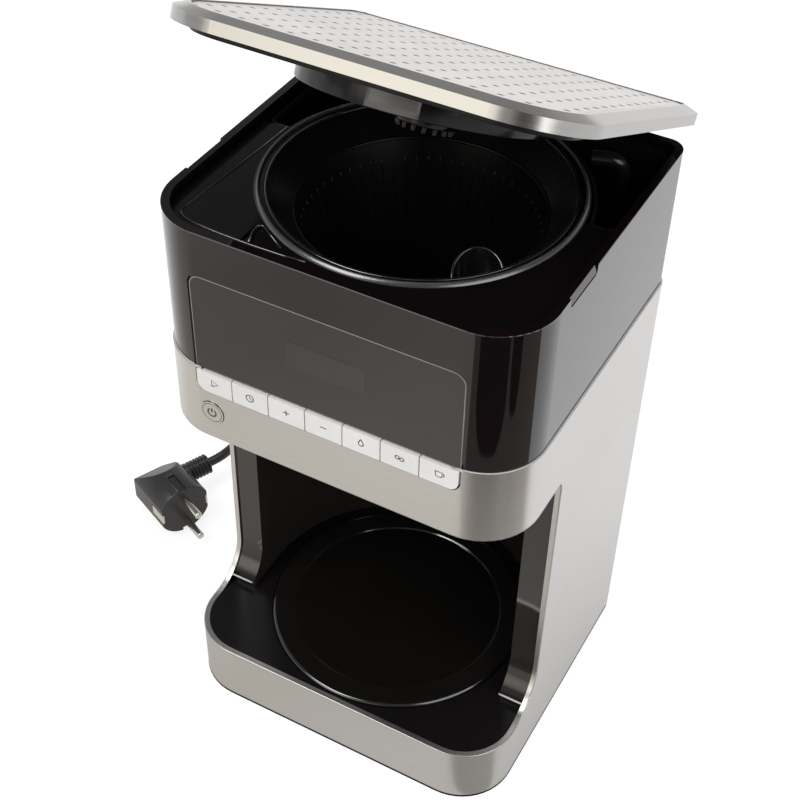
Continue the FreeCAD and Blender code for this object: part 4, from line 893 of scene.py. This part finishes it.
def make_hems(finish, lip):
    """Rolled edges of the steel: a round bead let into the sheet, round the bay and along the top edge. Up the
    pillars the bay's bead thins out, with the height over the base and under the band."""
    path, out = bay_edge()
    inset = path - bay_hem_in * (out + side_ways(path, out, True))
    over = np.clip((path[:, 2] - base_top_z) / bay_hem_fade, 0, 1)
    under = np.clip((band_low_z - path[:, 2]) / bay_top_r, 0, 1)
    thick = 2 * (bay_hem_r + (bay_hem_thin_r - bay_hem_r) * over * under)
    make_piece("bay_hem", bead(inset, out, thick, closed=True), finish)
    path, out = band_top_edge()
    inset = path - band_hem_in * out
    right = bead(inset, out, 2 * band_hem_r)
    left = bead((inset * mirror_x)[::-1], (out * mirror_x)[::-1], 2 * band_hem_r)
    make_piece("band_hem", joined([right, left]), lip)


def make_hot_plate(finish, rim_finish):
    """Warming plate, turned: a flat disc, and round it a raised land with a soft step up at its inside, half of one
    less a cosine, and a quarter-round edge."""
    top = plate_high.z - disc_drop
    radius = np.r_[disc_radii, disc_radii[::-1]]
    height = np.repeat([top, plate_low.z], disc_radii.size)
    disc = turned(radius[::-1], height[::-1], plate_mid, closed=False)
    plate = make_piece("warming_plate", disc, finish)
    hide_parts("hot_plate")
    step = np.linspace(0, 1, 9)
    edge = plate_r - plate_edge_r * less_sin
    edge_z = top + plate_step_h - plate_edge_r * less_cos
    step_z = top + plate_step_h * (1 - np.cos(np.pi * step)) / 2
    radius = np.r_[plate_rim_r, plate_step_r + plate_step_w * step, edge, plate_r, plate_rim_r]
    height = np.r_[top - plate_rim_sink, step_z, edge_z, plate_low.z, plate_low.z]
    make_piece("plate_rim", turned(radius[::-1], height[::-1], plate_mid), rim_finish)


def make_foot_glints(finish):
    """Painted highlight on the lower edge of each pillar's lining, a thin pale bead across its curved foot."""
    path = xyz(np.linspace(*foot_glint_x, 5), *foot_glint_place)
    lines = [bead(side, foot_glint_way, foot_glint_w) for side in (path, path * mirror_x)]
    make_piece("foot_glints", joined(lines), finish)


def make_base_shadow(finish):
    """Painted contact shadow at the foot of the base: a dark round bead along the foot of the steel round the front
    and both sides.
    """
    path, out = rim_edge(base_shadow_in, back_y - back_corner_r, corner_r, 1)
    path[:, 2] = base_shadow_r
    make_piece("base_shadow", bead(path, out, 2 * base_shadow_r), finish)


# Basket and its valve

def profile_arc(middle, r, turns, steps):
    """Radius and height along an arc of a profile: a middle plus r times the sine and cosine of an angle in
    degrees."""
    angle = np.radians(np.linspace(*turns, steps))
    return np.stack([middle[0] + r * np.sin(angle), middle[1] + r * np.cos(angle)])


def make_basket_rim(bevel_sheen_finish, rim_finish):
    """Rolled rim of the basket, turned from a long slope and a small crown, and a thin ring inside it. The slope
    wears a paler black, partly a painted sheen.
    """
    slope = profile_arc(rim_slope_mid, rim_slope_r, rim_slope_turns, 9)
    crown = profile_arc(rim_crown_mid, rim_crown_r, rim_crown_turns, 8)
    under = [[crown[0, -1], slope[0, 0]], [rim_low_z, rim_low_z]]
    radius, height = np.concatenate([slope, crown, under], axis=1)[:, ::-1]
    make_piece("basket_bevel", turned(radius, height, basket_mid), bevel_sheen_finish)
    make_piece("basket_rim", ring(*rim_ring, basket_mid), rim_finish)


def make_basket_ribs(finish):
    """Edge of the cup, and sixty upright ribs on its wall. Each rib is half round across, follows the taper of the
    wall down to the floor, and has a round top; all are the first one turned about the basket's middle."""
    u = np.linspace(-1, 1, 7)
    drop = rib_rows * (rib_top_z - cup_floor_z)
    wall = cup_top_r - cup_taper * (cup_top_z - rib_top_z + drop) / (cup_top_z - cup_floor_z)
    full = np.sqrt(np.clip(1 - (1 - np.clip(rib_rows / rib_round, 0, 1)) ** 2, 0, 1))[:, None]
    reach = wall[:, None] - (rib_rise * full * np.sqrt(1 - u ** 2) - rib_sink)
    across = rib_half_w * u * np.clip(full, rib_least_w, 1)
    angle = (rib_first + 2 * np.pi * np.arange(rib_count) / rib_count)[:, None, None]
    x = basket_mid[0] + reach * np.cos(angle) - across * np.sin(angle)
    y = basket_mid[1] + reach * np.sin(angle) + across * np.cos(angle)
    points = xyz(x, y, (rib_top_z - drop)[:, None])
    faces = grid_faces(rib_rows.size, u.size)
    ribs = joined([(rib.reshape(-1, 3), faces) for rib in points])
    make_piece("basket_ribs", joined([ribs, ring(*cup_ring, basket_mid)]), finish)


def make_finger_pocket(finish):
    """Round finger pocket in the basket, a turned cup with a half-round lip. Its wall falls from its far side to its
    near one with half of one less the cosine of the angle between."""
    turn = np.linspace(0, np.pi, 9)
    lip = finger_r + finger_wall / 2 * (1 - np.cos(turn))
    lip_z = finger_top_z - finger_wall / 2 + finger_wall / 2 * np.sin(turn)
    under_z = finger_floor_z - finger_wall
    radius = np.r_[finger_pole_r, finger_r, lip, finger_r + finger_wall, finger_pole_r]
    height = np.r_[finger_floor_z, finger_floor_z, lip_z, under_z, under_z]
    points, faces = turned(radius[::-1], height[::-1], finger_mid, closed=False, steps=72)
    around = np.arctan2(points[:, 1] - finger_mid[1], points[:, 0] - finger_mid[0])
    up = np.clip((points[:, 2] - finger_floor_z) / (finger_top_z - finger_floor_z), 0, 1)
    points[:, 2] -= finger_drop * up * (1 - np.cos(around - finger_far)) / 2
    make_piece("finger_pocket", (points, faces), finish)


def make_drip_spring(finish):
    """Coil spring over the drip valve: a round wire along a helix, radius times the cosine and sine of the turn as
    the height rises."""
    low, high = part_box("drip_spring")
    middle = (low + high) / 2
    turn = np.linspace(0, 2 * np.pi * spring_turns, spring_steps * spring_turns + 1)
    r = (high.x - low.x) / 2 - spring_wire / 2
    z = np.linspace(low.z + spring_wire / 2, high.z - spring_wire / 2, turn.size)
    path = xyz(middle.x + r * np.cos(turn), middle.y + r * np.sin(turn), z)
    wire = bead(path, xyz(np.cos(turn), np.sin(turn), 0), spring_wire, sides=8)
    spring = make_piece("valve_spring", wire, finish)
    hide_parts("drip_spring")
    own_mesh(spring)


# Shell, rim and deck

def rim_edge(inset, end_y, bend_r, way):
    """Line along an edge of the shell's rim, in from the body by an inset: from a place on the right side round the
    front or the back to its mirror image on the left; and the direction out of the body along it."""
    edge_y = front_y + inset if way > 0 else back_y - inset
    bend_x, bend_y = bend(half_w - inset, edge_y, bend_r - inset, way)
    x = np.r_[0, bend_x, half_w - inset]
    y = np.r_[edge_y, bend_y, end_y]
    turn = np.r_[0, quarter, np.pi / 2]
    path = xyz(x, y, rim_z - rim_line_r)
    out = xyz(np.sin(turn), -way * np.cos(turn), 0)
    return [np.concatenate([half[:0:-1], half * mirror_x]) for half in (path, out)]


def make_rim_lines(finish):
    """Rounded edge along the outside of the rim, in front of the two notches and behind them, and the raised joint
    lines of the deck, each a bead along its points."""
    ends = ((notch_front_y, corner_r, 1), (notch_back_y, back_corner_r, -1))
    edges = [bead(*rim_edge(rim_line_in, *end), 2 * rim_line_r) for end in ends]
    make_piece("rim_edge", joined(edges), finish)
    paths = [xyz(*np.array(line).T / 1000, deck_z) for line in deck_lines]
    make_piece("deck_lines", joined([bead(path, (0, 0, 1), deck_line_w) for path in paths]), finish)


def make_notch_scoops(finish):
    """Sloped floor of the finger notch in each side of the rim: a wedge along the notch that is flush with the shell
    at its foot and runs in towards the top."""
    x = half_w - shell_inset - scoop_in
    y = np.linspace(notch_front_y + notch_end_gap, notch_back_y - notch_end_gap, 5)
    z = np.array([notch_low_z, notch_low_z, rim_z, rim_z])
    right = xyz(x, y[:, None], z).reshape(-1, 3)
    faces = tube_faces(y.size, x.size, False)
    left = (right * mirror_x, [face[::-1] for face in faces])
    make_piece("notch_scoops", joined([(right, faces), left]), finish, smooth=False)


# Front

def make_window_glint(finish):
    """Painted highlight on the display window's edge: a thin pale line round its sides and top, with rounded top
    corners.
    """
    x = window_high.x - window_r * less_cos
    z = window_high.z - window_r * less_sin
    xs = np.r_[window_high.x, x, -x[::-1], window_low.x]
    zs = np.r_[window_low.z, z, z[::-1], window_low.z]
    path = xyz(xs, window_low.y + window_glint_sink, zs)[::-1]
    make_piece("window_glint", bead(path, (0, -1, 0), *window_glint_size), finish)


def make_window_gap(finish):
    """Dark gap between the shell and the left side of the display window, a flat bead."""
    path = xyz(window_gap_x, window_low.y - window_gap_lift, window_gap_z)
    make_piece("window_gap", bead(path, (0, -1, 0), *window_gap_size), finish)


def make_screen(finish):
    """Faint panel of the display behind the window, a thin sheet with rounded corners on the window's face: its
    half width shrinks towards the top and the bottom by what the corner radius takes away."""
    u, v = np.meshgrid(np.linspace(-1, 1, 21), np.sin(np.linspace(-np.pi / 2, np.pi / 2, 15)), indexing="ij")
    short = np.clip(np.abs(v) * screen_half_h - screen_half_h + screen_r, 0, screen_r)
    reach = screen_half_w - screen_r + np.sqrt(screen_r ** 2 - short ** 2)
    x = screen_mid[0] + u * reach
    z = screen_mid[1] + v * screen_half_h
    points = xyz(x, window_low.y - screen_lift, z).reshape(-1, 3)
    make_piece("display_screen", (points, grid_faces(*x.shape)[::-1]), finish)


def arc(x, z, r, start, end, steps=25):
    """Points on a circle in the plane of the front, by the angle in degrees."""
    angle = np.radians(np.linspace(start, end, steps))
    return np.stack([x + r * np.cos(angle), z + r * np.sin(angle)], axis=1)


def drop_line():
    """Outline of a drop: a circle below that runs up into a point."""
    return np.concatenate([[(0, 2.0)], arc(0, -0.5, 1.15, 150, 390), [(0, 2.0)]])


# Strokes of the signs, in millimetres before they are scaled
button_marks = [
    [[(-1.3, -1.7), (1.8, 0), (-1.3, 1.7), (-1.3, -1.7)]],
    [arc(0, 0, 1.8, 0, 360), [(0, 1.2), (0, 0), (0.9, -0.5)]],
    [[(-1.5, 0), (1.5, 0)], [(0, -1.5), (0, 1.5)]],
    [[(-1.5, 0), (1.5, 0)]],
    [drop_line()],
    [arc(-1.0, 0.2, 0.9, 0, 360), arc(1.1, -0.2, 0.9, 0, 360)],
    [[(-1.7, 1.3), (-1.2, -1.5), (1.2, -1.5), (1.7, 1.3), (-1.7, 1.3)], arc(1.5, 0.1, 0.9, -70, 80, 13)],
]
power_mark = [arc(0, 0, 2.0, 125, 415, 33), [(0, 0.2), (0, 2.5)]]


def mark(strokes, middle, front, width):
    """Strokes of a sign on the front, each a flat bead along its scaled points about a middle point."""
    scaled = [np.array(stroke, dtype=float).T * mark_scale for stroke in strokes]
    paths = [xyz(middle[0] + x, front, middle[1] + z) for x, z in scaled]
    return joined([bead(path, (0, -1, 0), width, mark_h, sides=8) for path in paths])


def make_marks(finish):
    """Plain signs on the push buttons and the power button."""
    for place, strokes in enumerate(button_marks, 1):
        low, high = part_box("button_%d" % place)
        middle = ((low.x + high.x) / 2, (low.z + high.z) / 2 + mark_up)
        shape = mark(strokes, middle, low.y, mark_w)
        make_piece("button_mark_%d" % place, shape, finish, "button_%d_cap" % place)
    low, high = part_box("power_button")
    middle = (low + high) / 2
    shape = mark(power_mark, (middle.x, middle.z), low.y, power_mark_w)
    make_piece("power_mark", shape, finish, "power_button_cap")


def make_power_shadow(finish):
    """Painted shadow round the power button: the dark gap between its ring and the steel, a flat bead along most of a
    circle, only over its top and right side where the ring's shadow falls.
    """
    low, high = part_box("power_ring")
    middle = ((low.x + high.x) / 2, (low.z + high.z) / 2)
    circle = arc(0, 0, (high.x - low.x) / 2 / mark_scale - power_shadow_in, *power_shadow_turns, 41)
    make_piece("power_shadow", mark([circle], middle, front_y - power_shadow_lift, power_shadow_w), finish)


make_camera()
finishes = make_finishes()
make_cord(finishes["cord_black"])
make_floor()
make_flags()
make_world()
make_lamps()
soften_edges()
pieces = [
    (make_panel, "dotted_plate"),
    (make_panel_gap, "mark_grey"),
    (make_hems, "rolled_edge", "steel_lip_and_glint"),
    (make_hot_plate, "plate_black", "black_rim"),
    (make_basket_rim, "black_bevel_sheen", "black_rim"),
    (make_basket_ribs, "black_cup"),
    (make_finger_pocket, "black_rim"),
    (make_rim_lines, "black_rim"),
    (make_foot_glints, "steel_lip_and_glint"),
    (make_base_shadow, "gap_and_shadow_black"),
    (make_drip_spring, "plain_steel"),
    (make_skirt_sheen, "skirt_sheen"),
    (make_window_glint, "window_glint"),
    (make_window_gap, "gap_and_shadow_black"),
    (make_screen, "display_screen"),
    (make_marks, "mark_grey"),
    (make_power_shadow, "gap_and_shadow_black"),
    (make_notch_scoops, "black_gloss"),
    (make_cord_tie, "cord_black"),
]
for make, *worn in pieces:
    make(*[finishes[name] for name in worn])

scene.view_settings.view_transform = "Standard"
